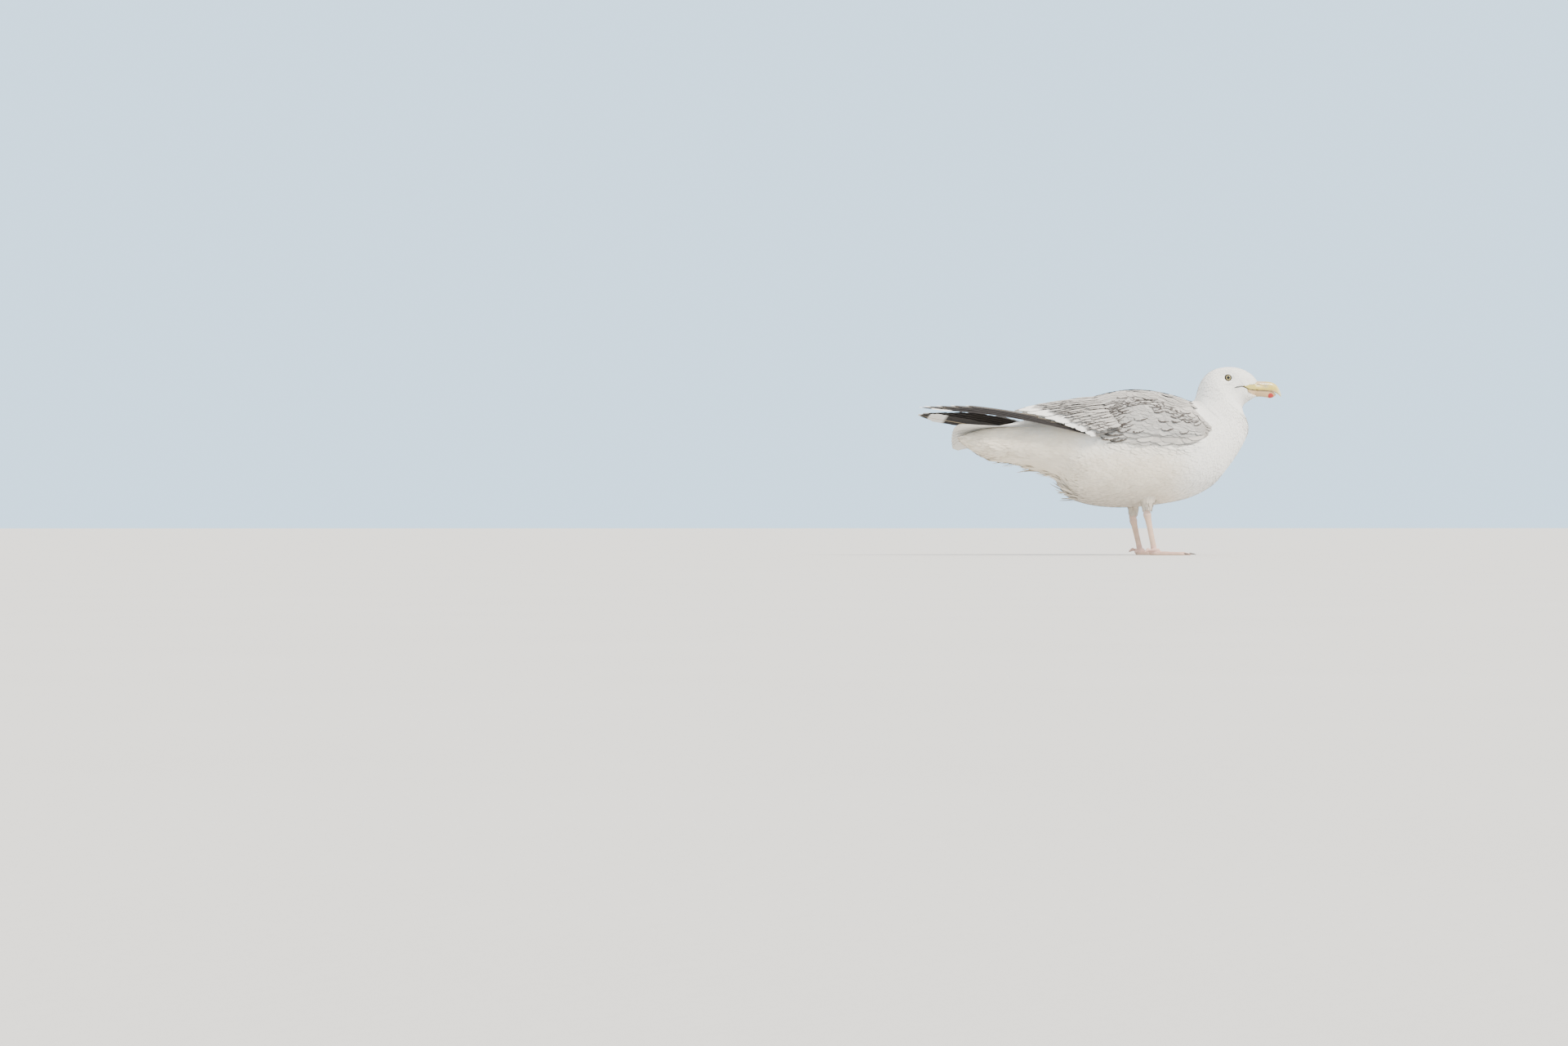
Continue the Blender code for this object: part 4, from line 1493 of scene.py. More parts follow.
@dataclass(frozen=True)
class VaneShape:
    """A small feather of length 1, width 1 and rise 1, closed by a flat underside.

    stations gives shares along it with the width there. tips gives how far each point of its
    end row reaches, so it also gives how many points lie across it. crown is how far its
    edges droop.
    """

    name: str
    stations: tuple[Pair, ...]
    tips: tuple[float, ...]
    end_width: float = 0.74
    crown: float = 0.16
    chance: float = 0.5
    turned: int = 1

    def climb(self, share: float) -> float:
        """Its height over the root at a share of its length."""
        return math.sin(min(1.0, share) * math.pi / 2) ** 0.9

    def build(self) -> bpy.types.Object:
        """The feather as an object for the trees to place.

        Returns:
            The feather.
        """
        n = len(self.tips)
        spots = np.linspace(-1, 1, n)
        rows = [((share,) * n, width) for share, width in self.stations] + [(self.tips, self.end_width)]
        points, vane = [(0.0, 0.0, -0.05)], [(0.0, 0.0, self.chance)]
        for shares, width in rows:
            for share, spot in zip(shares, spots):
                droop = self.crown * abs(spot) ** 1.8 * width
                sweep = 0.05 * abs(spot) * width
                points.append((share - sweep, 0.5 * width * spot, self.climb(share) - droop))
                vane.append((share, spot * self.turned, self.chance))
        faces = [(0, 1 + c, 2 + c) for c in range(n - 1)]
        faces += [f[::-1] for f in grid_faces(len(rows), n, start=1)]
        faces.append((n, 1, 0))
        for r in range(len(rows) - 2):
            a, b = 1 + r * n, r * n + n
            faces.append((a, b, b + n, a + n))
        a = 1 + (len(rows) - 2) * n
        faces.append((a, a + n - 1, *reversed(range(a + n, a + 2 * n))))
        piece = make_mesh(self.name, np.array(points), faces)
        piece.data.set_sharp_from_angle(angle=math.radians(100))
        store(piece.data, "vane", np.array(vane))
        return piece


ROUND_TIP = (0.90, 0.975, 1.0, 0.96, 0.89)
SLIM_TIP = (0.88, 0.96, 0.93, 1.0, 0.90)
RAGGED_TIP = (0.89, 1.0, 0.94, 0.975, 0.87)
BROAD_TIP = (0.90, 0.965, 0.99, 1.0, 0.988, 0.96, 0.89)
WORN_TIP = (0.87, 0.97, 0.93, 1.0, 0.92, 0.98, 0.90)
BLUNT_TIP = (0.92, 0.97, 0.985, 1.0, 0.97, 0.98, 0.93)
ROUND_FORM = ((0.22, 0.70), (0.50, 1.0), (0.76, 0.92))
SLIM_FORM = ((0.24, 0.62), (0.50, 0.86), (0.76, 0.76))
RAGGED_FORM = ((0.22, 0.66), (0.50, 0.96), (0.74, 0.92))
BROAD_FORM = ((0.12, 0.55), (0.34, 0.90), (0.60, 1.0), (0.82, 0.93))
WORN_FORM = ((0.12, 0.52), (0.34, 0.86), (0.58, 1.0), (0.80, 0.90))
BLUNT_FORM = ((0.12, 0.60), (0.36, 0.92), (0.62, 1.0), (0.84, 0.92))
LONG_FORM = ((0.08, 0.50), (0.28, 0.86), (0.55, 1.0), (0.80, 0.80))
FRAYED_FORM = ((0.08, 0.46), (0.26, 0.80), (0.52, 0.96), (0.78, 0.84))
FINE_VANES = (
    VaneShape("fine_round", ((0.32, 0.74), (0.68, 1.0)), (0.88, 0.97, 1.0, 0.96, 0.87), 0.70, chance=0.2),
    VaneShape("fine_slim", ((0.34, 0.66), (0.66, 0.86)), (0.86, 0.99, 0.94, 1.0, 0.88), 0.58, chance=0.5),
    VaneShape("fine_worn", ((0.32, 0.72), (0.66, 0.96)), (0.85, 0.94, 0.99, 0.90, 0.98), 0.72, chance=0.8),
)
SOFT_VANES = (
    VaneShape("soft_round", ROUND_FORM, ROUND_TIP, 0.56, 0.12, 0.15),
    VaneShape("soft_slim", SLIM_FORM, SLIM_TIP, 0.46, 0.12, 0.45),
    VaneShape("soft_worn", RAGGED_FORM, RAGGED_TIP, 0.54, 0.12, 0.75),
)
BROAD_VANES = (
    VaneShape("broad_round", BROAD_FORM, BROAD_TIP, 0.66, 0.10, 0.15),
    VaneShape("broad_worn", WORN_FORM, WORN_TIP, 0.64, 0.10, 0.5),
    VaneShape("broad_blunt", BLUNT_FORM, BLUNT_TIP, 0.74, 0.12, 0.85),
)
STREAK_VANES = (
    VaneShape("streak_long", LONG_FORM, (0.90, 0.96, 1.0, 0.97, 0.91), 0.40, 0.16, 0.3),
    VaneShape("streak_worn", FRAYED_FORM, (0.88, 0.98, 0.94, 1.0, 0.90), 0.46, 0.16, 0.7),
)


@dataclass
class Bed:
    """The roots of a group of feathers, with what the trees read at each of them.

    Points are in metres, and sizes in millimetres: length, width and rise.
    """

    points: Array
    lie: Array
    outwards: Array
    size: tuple[Array, Array, Array]
    tint: Array
    patch: Pair  # the place of each root on the map OFBake
    # fringe: how dark the feathers' edges are, wear and painted shadow of the gaps between them
    fringe: Array | float = 0.0
    faces: Sequence[Face] = ()
    cover: Array | float = 1.0

    def build(self) -> bpy.types.Object:
        """The bed as a mesh that carries the values.

        Returns:
            The bed.
        """
        bed = make_mesh("feather_bed", self.points, self.faces)
        none = np.zeros(len(self.points))
        values = {
            "lie": self.lie,
            "outwards": self.outwards,
            "size": np.stack([none + part for part in self.size], 1) * MM,
            "tint": self.tint,
            "fringe": none + self.fringe,
            "cover": none + self.cover,
            "root_patch": np.stack([*self.patch, none], 1),
        }
        for name, value in values.items():
            store(bed.data, name, value)
        return bed


class FeatherTree(Board):
    """A node tree that sets feathers on a bed and joins them to one mesh."""

    def __init__(self, name: str, scattered: bool, vanes: Sequence[bpy.types.Object], finish: Finish) -> None:
        """Builds the tree.

        Args:
            name: its name.
            scattered: True to spread roots over faces, False for a root at each point.
            vanes: the feathers to choose from.
            finish: what they are made of.
        """
        super().__init__(bpy.data.node_groups.new(name, "GeometryNodeTree"))
        self.finish = finish
        self.sockets: dict[str, str] = {}
        face = self.tree.interface
        face.new_socket(name="Geometry", in_out="INPUT", socket_type="NodeSocketGeometry")
        face.new_socket(name="Geometry", in_out="OUTPUT", socket_type="NodeSocketGeometry")
        numbers = {
            "Spacing": 0.003, "Density": 1e6, "Turn": 0.2, "Smallest": 0.85, "Largest": 1.15,
            "Patch": 0.003, "Seed": 1,
        }
        for label, value in numbers.items():
            kind = "NodeSocketInt" if isinstance(value, int) else "NodeSocketFloat"
            socket = face.new_socket(name=label, in_out="INPUT", socket_type=kind)
            socket.default_value = value
            self.sockets[label] = socket.identifier
        self.entry = self.add("NodeGroupInput").outputs
        roots = self.scatter() if scattered else self.each_point()
        realized = self.add("GeometryNodeRealizeInstances", {"Geometry": self.place(roots, vanes)})
        mapped = self.map_patches(realized.outputs[0])
        dressed = self.add("GeometryNodeSetMaterial", {"Geometry": mapped, "Material": finish.material()})
        self.add("NodeGroupOutput", {0: dressed.outputs[0]})

    def kept(self, name: str, kind: str = "FLOAT_VECTOR") -> Socket:
        """A value kept on the mesh by name."""
        node = self.add("GeometryNodeInputNamedAttribute", {"Name": name}, data_type=kind)
        return next(s for s in node.outputs if s.name == "Attribute" and s.enabled)

    def chance(self, kind: str, low: object, high: object, step: int) -> Socket:
        """A random number at each root.

        Args:
            kind: the kind of number.
            low: the least, a number or a socket.
            high: the most.
            step: what is added to the tree's seed.

        Returns:
            The number.
        """
        plugs = {"Min": low, "Max": high, "Seed": self.maths("ADD", self.entry["Seed"], step)}
        node = self.add("FunctionNodeRandomValue", plugs, data_type=kind)
        return next(s for s in node.outputs if s.enabled)

    def scatter(self) -> Socket:
        """Roots spread evenly over the faces, thinned where the mesh says so.

        Returns:
            The roots.
        """
        plugs = {
            "Mesh": self.entry["Geometry"],
            "Distance Min": self.entry["Spacing"],
            "Density Max": self.entry["Density"],
            "Density Factor": self.kept("cover", "FLOAT"),
            "Seed": self.entry["Seed"],
        }
        spread = self.add("GeometryNodeDistributePointsOnFaces", plugs, distribute_method="POISSON")
        return spread.outputs["Points"]

    def each_point(self) -> Socket:
        """A root at each point of the mesh."""
        return self.add("GeometryNodeMeshToPoints", {"Mesh": self.entry["Geometry"]}).outputs[0]

    def place(self, roots: Socket, vanes: Sequence[bpy.types.Object]) -> Socket:
        """Sets a feather at each root, along the lie kept there.

        Args:
            roots: the roots.
            vanes: the feathers to choose from.

        Returns:
            The placed feathers.
        """
        choice = self.add("GeometryNodeJoinGeometry")
        for vane in vanes:
            info = self.add("GeometryNodeObjectInfo", {"Object": vane, "As Instance": True})
            self.plug(choice, 0, info.outputs["Geometry"])
        plugs = {0: self.kept("lie"), 1: self.kept("outwards")}
        aim = self.add("FunctionNodeAxesToRotation", plugs, primary_axis="X", secondary_axis="Z")
        turn = self.entry["Turn"]
        swing = self.chance("FLOAT", self.maths("MULTIPLY", turn, -1.0), turn, 1)
        swing = self.add("FunctionNodeAxisAngleToRotation", {"Axis": (0, 0, 1), "Angle": swing})
        plugs = {0: aim.outputs[0], 1: swing.outputs[0]}
        turned = self.add("FunctionNodeRotateRotation", plugs, rotation_space="LOCAL")
        growth = self.chance("FLOAT", self.entry["Smallest"], self.entry["Largest"], 2)
        put = self.add("GeometryNodeInstanceOnPoints", {
            "Points": roots,
            "Instance": choice.outputs[0],
            "Pick Instance": True,
            "Instance Index": self.chance("INT", 0, len(vanes) - 1, 3),
            "Rotation": turned.outputs[0],
            "Scale": self.vector("SCALE", self.kept("size"), growth),
        })
        return put.outputs[0]

    def map_patches(self, geometry: Socket) -> Socket:
        """Gives each feather a small patch of the map at its root's place.

        Args:
            geometry: the joined feathers.

        Returns:
            The feathers with their map.
        """
        patch = self.vector("SUBTRACT", self.kept("vane"), (0.5, 0.0, 0.0))
        patch = self.vector("MULTIPLY", patch, (1.0, 0.5, 0.0))
        patch = self.vector("SCALE", patch, self.entry["Patch"])
        patch = self.vector("ADD", self.kept("root_patch"), patch)
        plugs = {"Geometry": geometry, "Name": "OFBake", "Value": patch}
        kinds = {"data_type": "FLOAT2", "domain": "CORNER"}
        return self.add("GeometryNodeStoreNamedAttribute", plugs, **kinds).outputs[0]

    def grow(self, bed: Bed, name: str, slot: str, vary: float = 0.15, **inputs: float) -> None:
        """Runs the tree on a bed and leaves the feathers as one plain finished piece.

        Args:
            bed: the feathers' roots.
            name: the name of the piece.
            slot: not used.
            vary: how far the feathers' sizes stray from what the bed says.
            inputs: values for the tree's inputs, by label.
        """
        roots = bed.build()
        modifier = roots.modifiers.new("feathers", "NODES")
        modifier.node_group = self.tree
        for label, value in {"Smallest": 1 - vary, "Largest": 1 + vary, **inputs}.items():
            modifier[self.sockets[label]] = value
        made = plain_copy(roots, name)
        attributes = made.data.attributes
        for extra in ("lie", "outwards", "size", "cover", "root_patch"):
            if extra in attributes:
                attributes.remove(attributes[extra])
        finish_piece(made, self.finish)


@dataclass(frozen=True)
class Tract:
    """A part of the white plumage that is laid with one spacing, in millimetres."""

    name: str
    start: float
    end: float
    top: float
    bottom: float
    spacing: float
    rows: int
    columns: int
    slot: str = "white_plumage"
    soft: bool = False


TRACTS = (
    Tract("face_feathers", 24.2, 27.9, 0, 180, 0.85, 80, 64),
    Tract("crown_feathers", 20.8, 24.3, 0, 180, 1.15, 70, 64),
    Tract("nape_feathers", 17.2, 20.9, 0, 180, 1.5, 60, 64),
    Tract("neck_feathers", 13.3, 17.3, 0, 180, 1.6, 60, 72, soft=True),
    Tract("breast_feathers", 9.0, 13.4, 40, 180, 1.85, 60, 72, soft=True),
    Tract("belly_feathers", 4.6, 9.1, 55, 180, 2.0, 60, 72, "loose_plumage", True),
    Tract("vent_feathers", 0.05, 4.7, 60, 180, 2.0, 60, 64, "loose_plumage", True),
    Tract("rump_feathers", 0.05, 8.2, 0, 62, 2.4, 70, 44, "loose_plumage", True),
)


@dataclass
class FeatherRow:
    """One row of wing feathers: its run, its spacing and its feathers' sizes, in millimetres."""

    start: float
    end: float
    angle: Callable[[Array], Array]
    step: float
    shift: float
    length: tuple[tuple[float, ...], tuple[float, ...]]  # places, and the lengths there
    width: float
    rise: float
    droop: float

    def roots(self, side: int, draw: np.random.RandomState) -> list[tuple[float, ...]]:
        """Places of the row's feathers, at nearly even steps.

        Args:
            side: the sign of Y.
            draw: the wing's random numbers.

        Returns:
            For each feather: place, angle, length, width, rise, droop in degrees and chance.
        """
        places = np.linspace(self.start, self.end, 120)
        angles = self.angle(places)
        path = FORM.point(places, angles, side)
        run = np.concatenate([[0], np.cumsum(np.linalg.norm(np.diff(path, axis=0), axis=1))])
        found = []
        for reach in np.arange(self.step * (0.3 + 0.5 * self.shift), run[-1], self.step):
            reach = reach + draw.uniform(-0.16, 0.16) * self.step
            place = np.interp(reach, run, places)
            angle = np.interp(reach, run, angles) + draw.uniform(-0.9, 0.9)
            size = draw.uniform(0.88, 1.12)
            rise = self.rise * draw.uniform(0.88, 1.12)
            droop = self.droop + draw.uniform(-5, 5)
            length = np.interp(place, *self.length) * size
            found.append((place, angle, length, self.width * size, rise, droop, draw.uniform()))
        return found


@dataclass
class Wing:
    """The folded wing's grey cover: one soft form with rows of feathers on it."""

    side: Side
    rear: float = 7.2
    front: float = 14.6
    form_depth: float = 0.9
    scapular_stops: tuple[float, ...] = (28, 32, 37, 44, 53, 65)
    covert_stops: tuple[float, ...] = (73, 75, 76, 76, 76, 79)
    edge_stops: tuple[float, ...] = (80, 84, 85, 86, 85, 82)
    rows: int = 90
    columns: int = 70
    greater_rows: int = 2
    covert_rows: int = 10
    mantle_rows: int = 13
    root_depth: float = 0.3
    back_swell: float = 0.7
    side_swell: float = 1.7
    covert_swell: float = 2.4
    scapular_groove: float = 1.1
    covert_groove: float = 1.3
    tucked: float = 2.6  # how deep its edges sink into the coat

    def line(self, stops: tuple[float, ...], place: Array) -> Array:
        """A line along the wing, as angles round the body.

        Args:
            stops: its angles at even steps from rear to front.
            place: places along the body.

        Returns:
            One angle for each place.
        """
        share = np.clip((np.asarray(place, float) - self.rear) / (self.front - self.rear), 0, 1)
        angles = catmull_rom(np.array(stops)[:, None], share.ravel() * (len(stops) - 1))
        return angles[:, 0].reshape(np.shape(place))

    def scapular(self, place: Array) -> Array:
        """The scapulars' lower line."""
        return self.line(self.scapular_stops, place)

    def covert(self, place: Array) -> Array:
        """The greater coverts' upper line."""
        return self.line(self.covert_stops, place)

    def edge(self, place: Array) -> Array:
        """The wing's lower edge."""
        return self.line(self.edge_stops, place)

    def proud(self, place: Array, angle: Array) -> Array:
        """How far the wing's form stands off the body, in millimetres.

        Args:
            place: places along the body.
            angle: angles round it.

        Returns:
            One height for each place.
        """
        below = angle - self.scapular(place)
        edge = self.edge(place)
        swell = self.back_swell + self.side_swell * smoothstep(0, 30, angle)
        swell = swell + self.covert_swell * smoothstep(-6, 14, below)
        swell = swell - self.scapular_groove * ridge(below, 3.0)
        swell = swell - self.covert_groove * ridge(angle - self.covert(place), 2.2)
        swell = swell * smoothstep(-0.5, 7, edge - angle)
        front = 14.0 + 0.6 * smoothstep(0, 12, below)
        rear = 0.55 + 0.45 * smoothstep(0, 1.2, place - self.rear)
        sink = np.minimum(smoothstep(0, 1.1, front - place), smoothstep(-1.5, 3.0, edge - angle))
        return -self.tucked * (1 - sink) + (0.4 + swell * rear) * sink

    def build(self, tree: FeatherTree) -> None:
        """Makes the form and its feathers."""
        self.build_form()
        self.build_feathers(tree)

    def build_form(self) -> None:
        """The soft form under the wing feathers."""
        s, label = self.side.value, self.side.label
        along, down = np.linspace(self.rear, self.front, self.rows), np.linspace(0, 1, self.columns)
        place, share = np.meshgrid(along, down, indexing="ij")
        top = np.where(place > 14.0, self.scapular(place) * smoothstep(14.0, 14.12, place), 1.0)
        angle = top + (self.edge(place) - top) * share
        outer = FORM.point(place, angle, s, self.proud(place, angle) - self.form_depth)
        inner = FORM.point(place, angle, s, -COAT.depth(place) - 0.5)
        points = np.vstack([outer.reshape(-1, 3), inner.reshape(-1, 3)])
        form = make_mesh(f"wing_form_{label}", metres(points), slab_faces(self.rows, self.columns))
        form.data.set_sharp_from_angle(angle=math.radians(70))
        place, angle = place.ravel(), angle.ravel()
        tint = 0.8 * MARKINGS.wing(place, angle, self.scapular(place), self.covert(place))
        store(form.data, "tint", np.vstack([tint, tint]))
        face_outwards(form.data)
        nodes = [f"{part}_{label}" for part in ("scapulars", "wing_coverts", "greater_coverts")]
        finish_piece(form, SKIN_FINISH, nodes)

    def feather_rows(self) -> list[FeatherRow]:
        """The rows of feathers, from the lower edge up to the ridge of the back.

        Returns:
            The rows.
        """
        long, flat = ((8,), (28,)), ((8,), (33,))
        small = ((7.5, 12.5, 14.6), (25, 19, 10))
        broad = ((7.0, 9.5, 12.5, 14.4), (38, 29, 22, 12))
        spine = ((7.0, 12.5, 14.4), (34, 24, 10))
        rows = []
        for k in range(self.greater_rows):
            run = self.between(0, self.edge, self.edge, 2.2 * k - 3.8)
            rows.append(FeatherRow(8.3, 13.5, run, 6.0, k % 2, long, 12.5, 0.8, 3))
        run = self.between(0, self.covert, self.covert, -1.0)
        rows.append(FeatherRow(8.2, 13.9, run, 6.2, 0.5, flat, 13.0, 1.2, 6))
        for k in range(self.covert_rows):
            share = 1 - (k + 0.6) / self.covert_rows
            run = self.between(share, self.scapular, self.covert, -1.5 - share)
            rows.append(FeatherRow(7.7, 14.95, run, 6.4, k % 2, small, 11.0, 0.95, 15))
        for k in range(self.mantle_rows):
            share = 1 - (k + 0.4) / self.mantle_rows
            run = self.between(share, np.zeros_like, self.scapular, 1.0)
            rows.append(FeatherRow(7.0, 14.45, run, 7.4, k % 2, broad, 14.0, 0.7, 5))
        run = self.between(0, np.zeros_like, self.scapular, 0.6)
        rows.append(FeatherRow(7.0, 14.2, run, 6.0, 0.5, spine, 14.0, 0.9, 0))
        return rows

    def between(self, share: float, top: Line, bottom: Line, shift: float) -> Line:
        """A line at a share of the way from one line to another, moved by some degrees."""
        return lambda place: top(place) + (bottom(place) - top(place)) * share + shift

    def build_feathers(self, tree: FeatherTree) -> None:
        """Sets the rows of feathers on the form.

        Args:
            tree: the tree that places them.
        """
        s = self.side.value
        draw = np.random.RandomState(11 + s)
        roots = [root for row in self.feather_rows() for root in row.roots(s, draw)]
        place, angle, length, width, rise, droop, chance = np.array(roots).T
        root = FORM.point(place, angle, s, self.proud(place, angle) - self.root_depth)
        tip = place - length / FORM.stretch(place, angle, s)
        level = self.proud(np.maximum(tip, self.rear + 0.6), angle) - self.root_depth
        down = unit(FORM.point(place, angle + 1.5, s) - FORM.point(place, angle, s))
        lie = unit(unit(FORM.point(tip, angle, s, level) - root) + down * np.tan(np.radians(droop))[:, None])
        scapular = self.scapular(place)
        # dark edges: wear, and painted shadow of the gaps between ruffled feathers; these feathers also lift
        # and tilt more
        fringe = MARKINGS.wing_fringe(place, angle, scapular, chance)
        worn = fringe > 0.5
        outwards = FORM.normal(place, angle, s) - down * np.where(worn, 0.22, 0.05)[:, None]
        tint = MARKINGS.wing(place, angle, scapular, self.covert(place))
        small = smoothstep(14.8, 13.0, place)
        rise = rise * np.where(worn, 1.2, 1.0) * (0.55 + 0.45 * small)
        bed = Bed(
            points=metres(root),
            lie=lie,
            outwards=unit(squared(outwards, lie)),
            size=(length, width * (0.72 + 0.28 * small), rise),
            tint=tint * (0.93 + 0.12 * np.sin(97 * chance))[:, None],
            patch=(angle / 95, (place - 6.8) / 8.2),
            fringe=fringe,
        )
        name = f"wing_feathers_{self.side.label}"
        tree.grow(bed, name, "grey_plumage", 0.06, Turn=0.07, Seed=21 + s)


@dataclass
class Plumage:
    """The white feathers of head, neck and body, laid tract by tract, clear of the wing."""

    wing: Wing
    bulges: tuple[tuple[float, ...], ...] = (  # place, angle, and how far the coat stands out each way
        (6.1, 176, 0.35, 16), (6.9, 170, 0.3, 14), (5.1, 168, 0.4, 18), (2.9, 172, 0.45, 20),
        (4.0, 150, 0.6, 16),
    )
    tuft_beds: tuple[tuple[float, float, int], ...] = (  # place, angle and how many tufts
        (6.2, 170, 9), (6.9, 166, 8), (5.4, 168, 7), (3.0, 170, 6), (4.4, 160, 5), (7.6, 168, 5),
    )
    flank_drops: tuple[float, ...] = (9.4, 8.0, 6.6, 5.2, 3.9, 2.8)  # degrees under the wing's edge

    def cover(self, place: Array, angle: Array, points: Array) -> Array:
        """How much of each spot the small feathers cover, from 0 to 1.

        Args:
            place: places along the body.
            angle: angles round it.
            points: the points there.

        Returns:
            One share for each point.
        """
        x, z = points[:, 0], points[:, 2]
        cover = 1 - smoothstep(0.15, 0.6, MARKINGS.horn_share(x, z))
        cover = cover * smoothstep(0.7, 1.5, line_distance(x, z, MOUTH_LINE))
        cover = cover * smoothstep(0.6, 1.4, line_distance(x, z, MOUTH_LINE + np.array((1.0, 1.3))))
        cover = cover * smoothstep(5.5, 6.0, np.hypot(x - EYE_AT[0], z - EYE_AT[1]))
        under = smoothstep(1.5, 5.0, self.wing.edge(place) - angle) * smoothstep(7.4, 8.0, place)
        front = 13.75 + 0.6 * smoothstep(0, 10, angle - self.wing.scapular(place))
        return cover * (1 - under * smoothstep(0, 0.25, front - place))

    def lie(self, place: Array, angle: Array, side: int, points: Array, normal: Array) -> Array:
        """The direction in which each feather lies: rearwards, parted round the eye, down the jaw.

        Args:
            place: places along the body.
            angle: angles round it.
            side: the sign of Y.
            points: the roots.
            normal: the directions out of the skin.

        Returns:
            One direction for each feather.
        """
        away = points - np.array([EYE_AT[0], side * EYE_OUT, EYE_AT[1]])
        reach = np.linalg.norm(away, axis=1)
        parting = 1.2 * ridge(reach, 15.0) + 2.5 * ridge(reach, 9.5)
        jaw = hill(points[:, 0], points[:, 2], (214, 236), (14, 10))
        flow = FORM.rearwards(place, angle, side) + parting[:, None] * unit(away)
        flow = flow + jaw[:, None] * np.array([-0.5, 0.0, -0.35])
        return unit(squared(flow, normal))

    def tufts(self, place: Array, angle: Array) -> Array:
        """Where the coat stands out in tufts, under the body and at the vent.

        Args:
            place: places along the body.
            angle: angles round it.

        Returns:
            One share for each place.
        """
        hills = [hill(place, angle, (at, turn), (wide, high)) for at, turn, wide, high in self.bulges]
        return np.clip(sum(hills), 0, 1)

    def build(self, fine: FeatherTree, soft: FeatherTree, rows: FeatherTree) -> None:
        """Makes every tract on both sides, the flank rows and the tufts.

        Args:
            fine: the tree for the short feathers of the head.
            soft: the tree for the longer feathers of the body.
            rows: the tree for feathers at given roots.
        """
        for number, tract in enumerate(TRACTS):
            for side in Side:
                self.build_tract(tract, side, soft if tract.soft else fine, 100 + 7 * number + side.value)
        for side in Side:
            self.build_flank_row(side, rows)
            self.build_tufts(side, rows)

    def build_tract(self, tract: Tract, side: Side, tree: FeatherTree, seed: int) -> None:
        """Spreads one tract's feathers over its own part of the skin.

        Args:
            tract: the tract.
            side: the side of the bird.
            tree: the tree that spreads the feathers.
            seed: its random seed.
        """
        s = side.value
        along = np.linspace(tract.start, tract.end, tract.rows)
        down = np.linspace(tract.top, tract.bottom, tract.columns)
        place, angle = (grid.ravel() for grid in np.meshgrid(along, down, indexing="ij"))
        surface = FORM.point(place, angle, s)
        points = FORM.point(place, angle, s, -COAT.depth(place))
        normal = FORM.normal(place, angle, s)
        normal[(angle < 1.0) | (angle > 179.0), 1] = 0
        normal = unit(normal)
        x, z = surface[:, 0], surface[:, 2]
        near_eye = 0.5 + 0.5 * smoothstep(6, 16, np.hypot(x - EYE_AT[0], z - EYE_AT[1]))
        mouth = 0.42 + 0.58 * smoothstep(1, 7, line_distance(x, z, MOUTH_LINE))
        tufted = self.tufts(place, angle)
        tip = np.maximum(place - COAT.length(place) / FORM.stretch(place, angle, s), 0)
        bend = np.sum(unit(FORM.point(tip, angle, s) - surface) * normal, 1)
        hollow = 0.25 + 0.45 * smoothstep(8, 6, place)
        hollow = hollow + 0.5 * smoothstep(17, 19, place) * smoothstep(70, 105, angle)
        bend = np.where(bend > 0, hollow * bend, bend)
        lie = unit(self.lie(place, angle, s, points, normal) + normal * bend[:, None])
        body = 1 + 0.4 * smoothstep(8.5, 7.0, place)
        body = body - 0.22 * smoothstep(7.5, 9.0, place) * smoothstep(18, 16, place)
        bed = Bed(
            points=metres(points),
            lie=lie,
            outwards=unit(squared(normal, lie)),
            size=(
                COAT.length(place) * near_eye * mouth * (1 + 0.55 * tufted),
                COAT.width(place) * near_eye * mouth,
                COAT.rise(place) * (0.7 + 0.3 * near_eye) * body * (1 + 0.8 * tufted),
            ),
            tint=MARKINGS.body(surface),
            patch=(
                (angle - tract.top) / (tract.bottom - tract.top),
                (place - tract.start) / (tract.end - tract.start),
            ),
            faces=[f[::s] for f in grid_faces(tract.rows, tract.columns)],
            cover=self.cover(place, angle, surface),
        )
        tree.grow(
            bed, f"{tract.name}_{side.label}", tract.slot, 0.12, Turn=0.22, Seed=seed,
            Spacing=tract.spacing * MM, Density=6e6 / tract.spacing**2,
        )

    def build_tufts(self, side: Side, tree: FeatherTree) -> None:
        """Loose pointed tufts that stand out behind the belly and under the tail.

        Args:
            side: the side of the bird.
            tree: the tree that places them.
        """
        s = side.value
        draw = np.random.RandomState(40 + s)
        place = np.concatenate([draw.normal(at, 0.16, count) for at, _, count in self.tuft_beds])
        angle = np.concatenate([draw.normal(turn, 7.0, count) for _, turn, count in self.tuft_beds])
        angle = np.minimum(angle, 179.5)
        points = FORM.point(place, angle, s, -COAT.depth(place))
        normal = FORM.normal(place, angle, s)
        stand = draw.uniform(0.15, 0.55, (len(place), 1))
        lie = unit(FORM.rearwards(place, angle, s) + stand * normal)
        length = draw.uniform(15, 27, len(place))
        bed = Bed(
            points=metres(points),
            lie=lie,
            outwards=unit(squared(normal, lie)),
            size=(length, 0.25 * length, 1.4),
            tint=MARKINGS.body(points),
            patch=((angle - 130) / 60, place / 9),
        )
        name = f"vent_tufts_{side.label}"
        tree.grow(bed, name, "loose_plumage", Turn=0.25, Seed=70 + s)

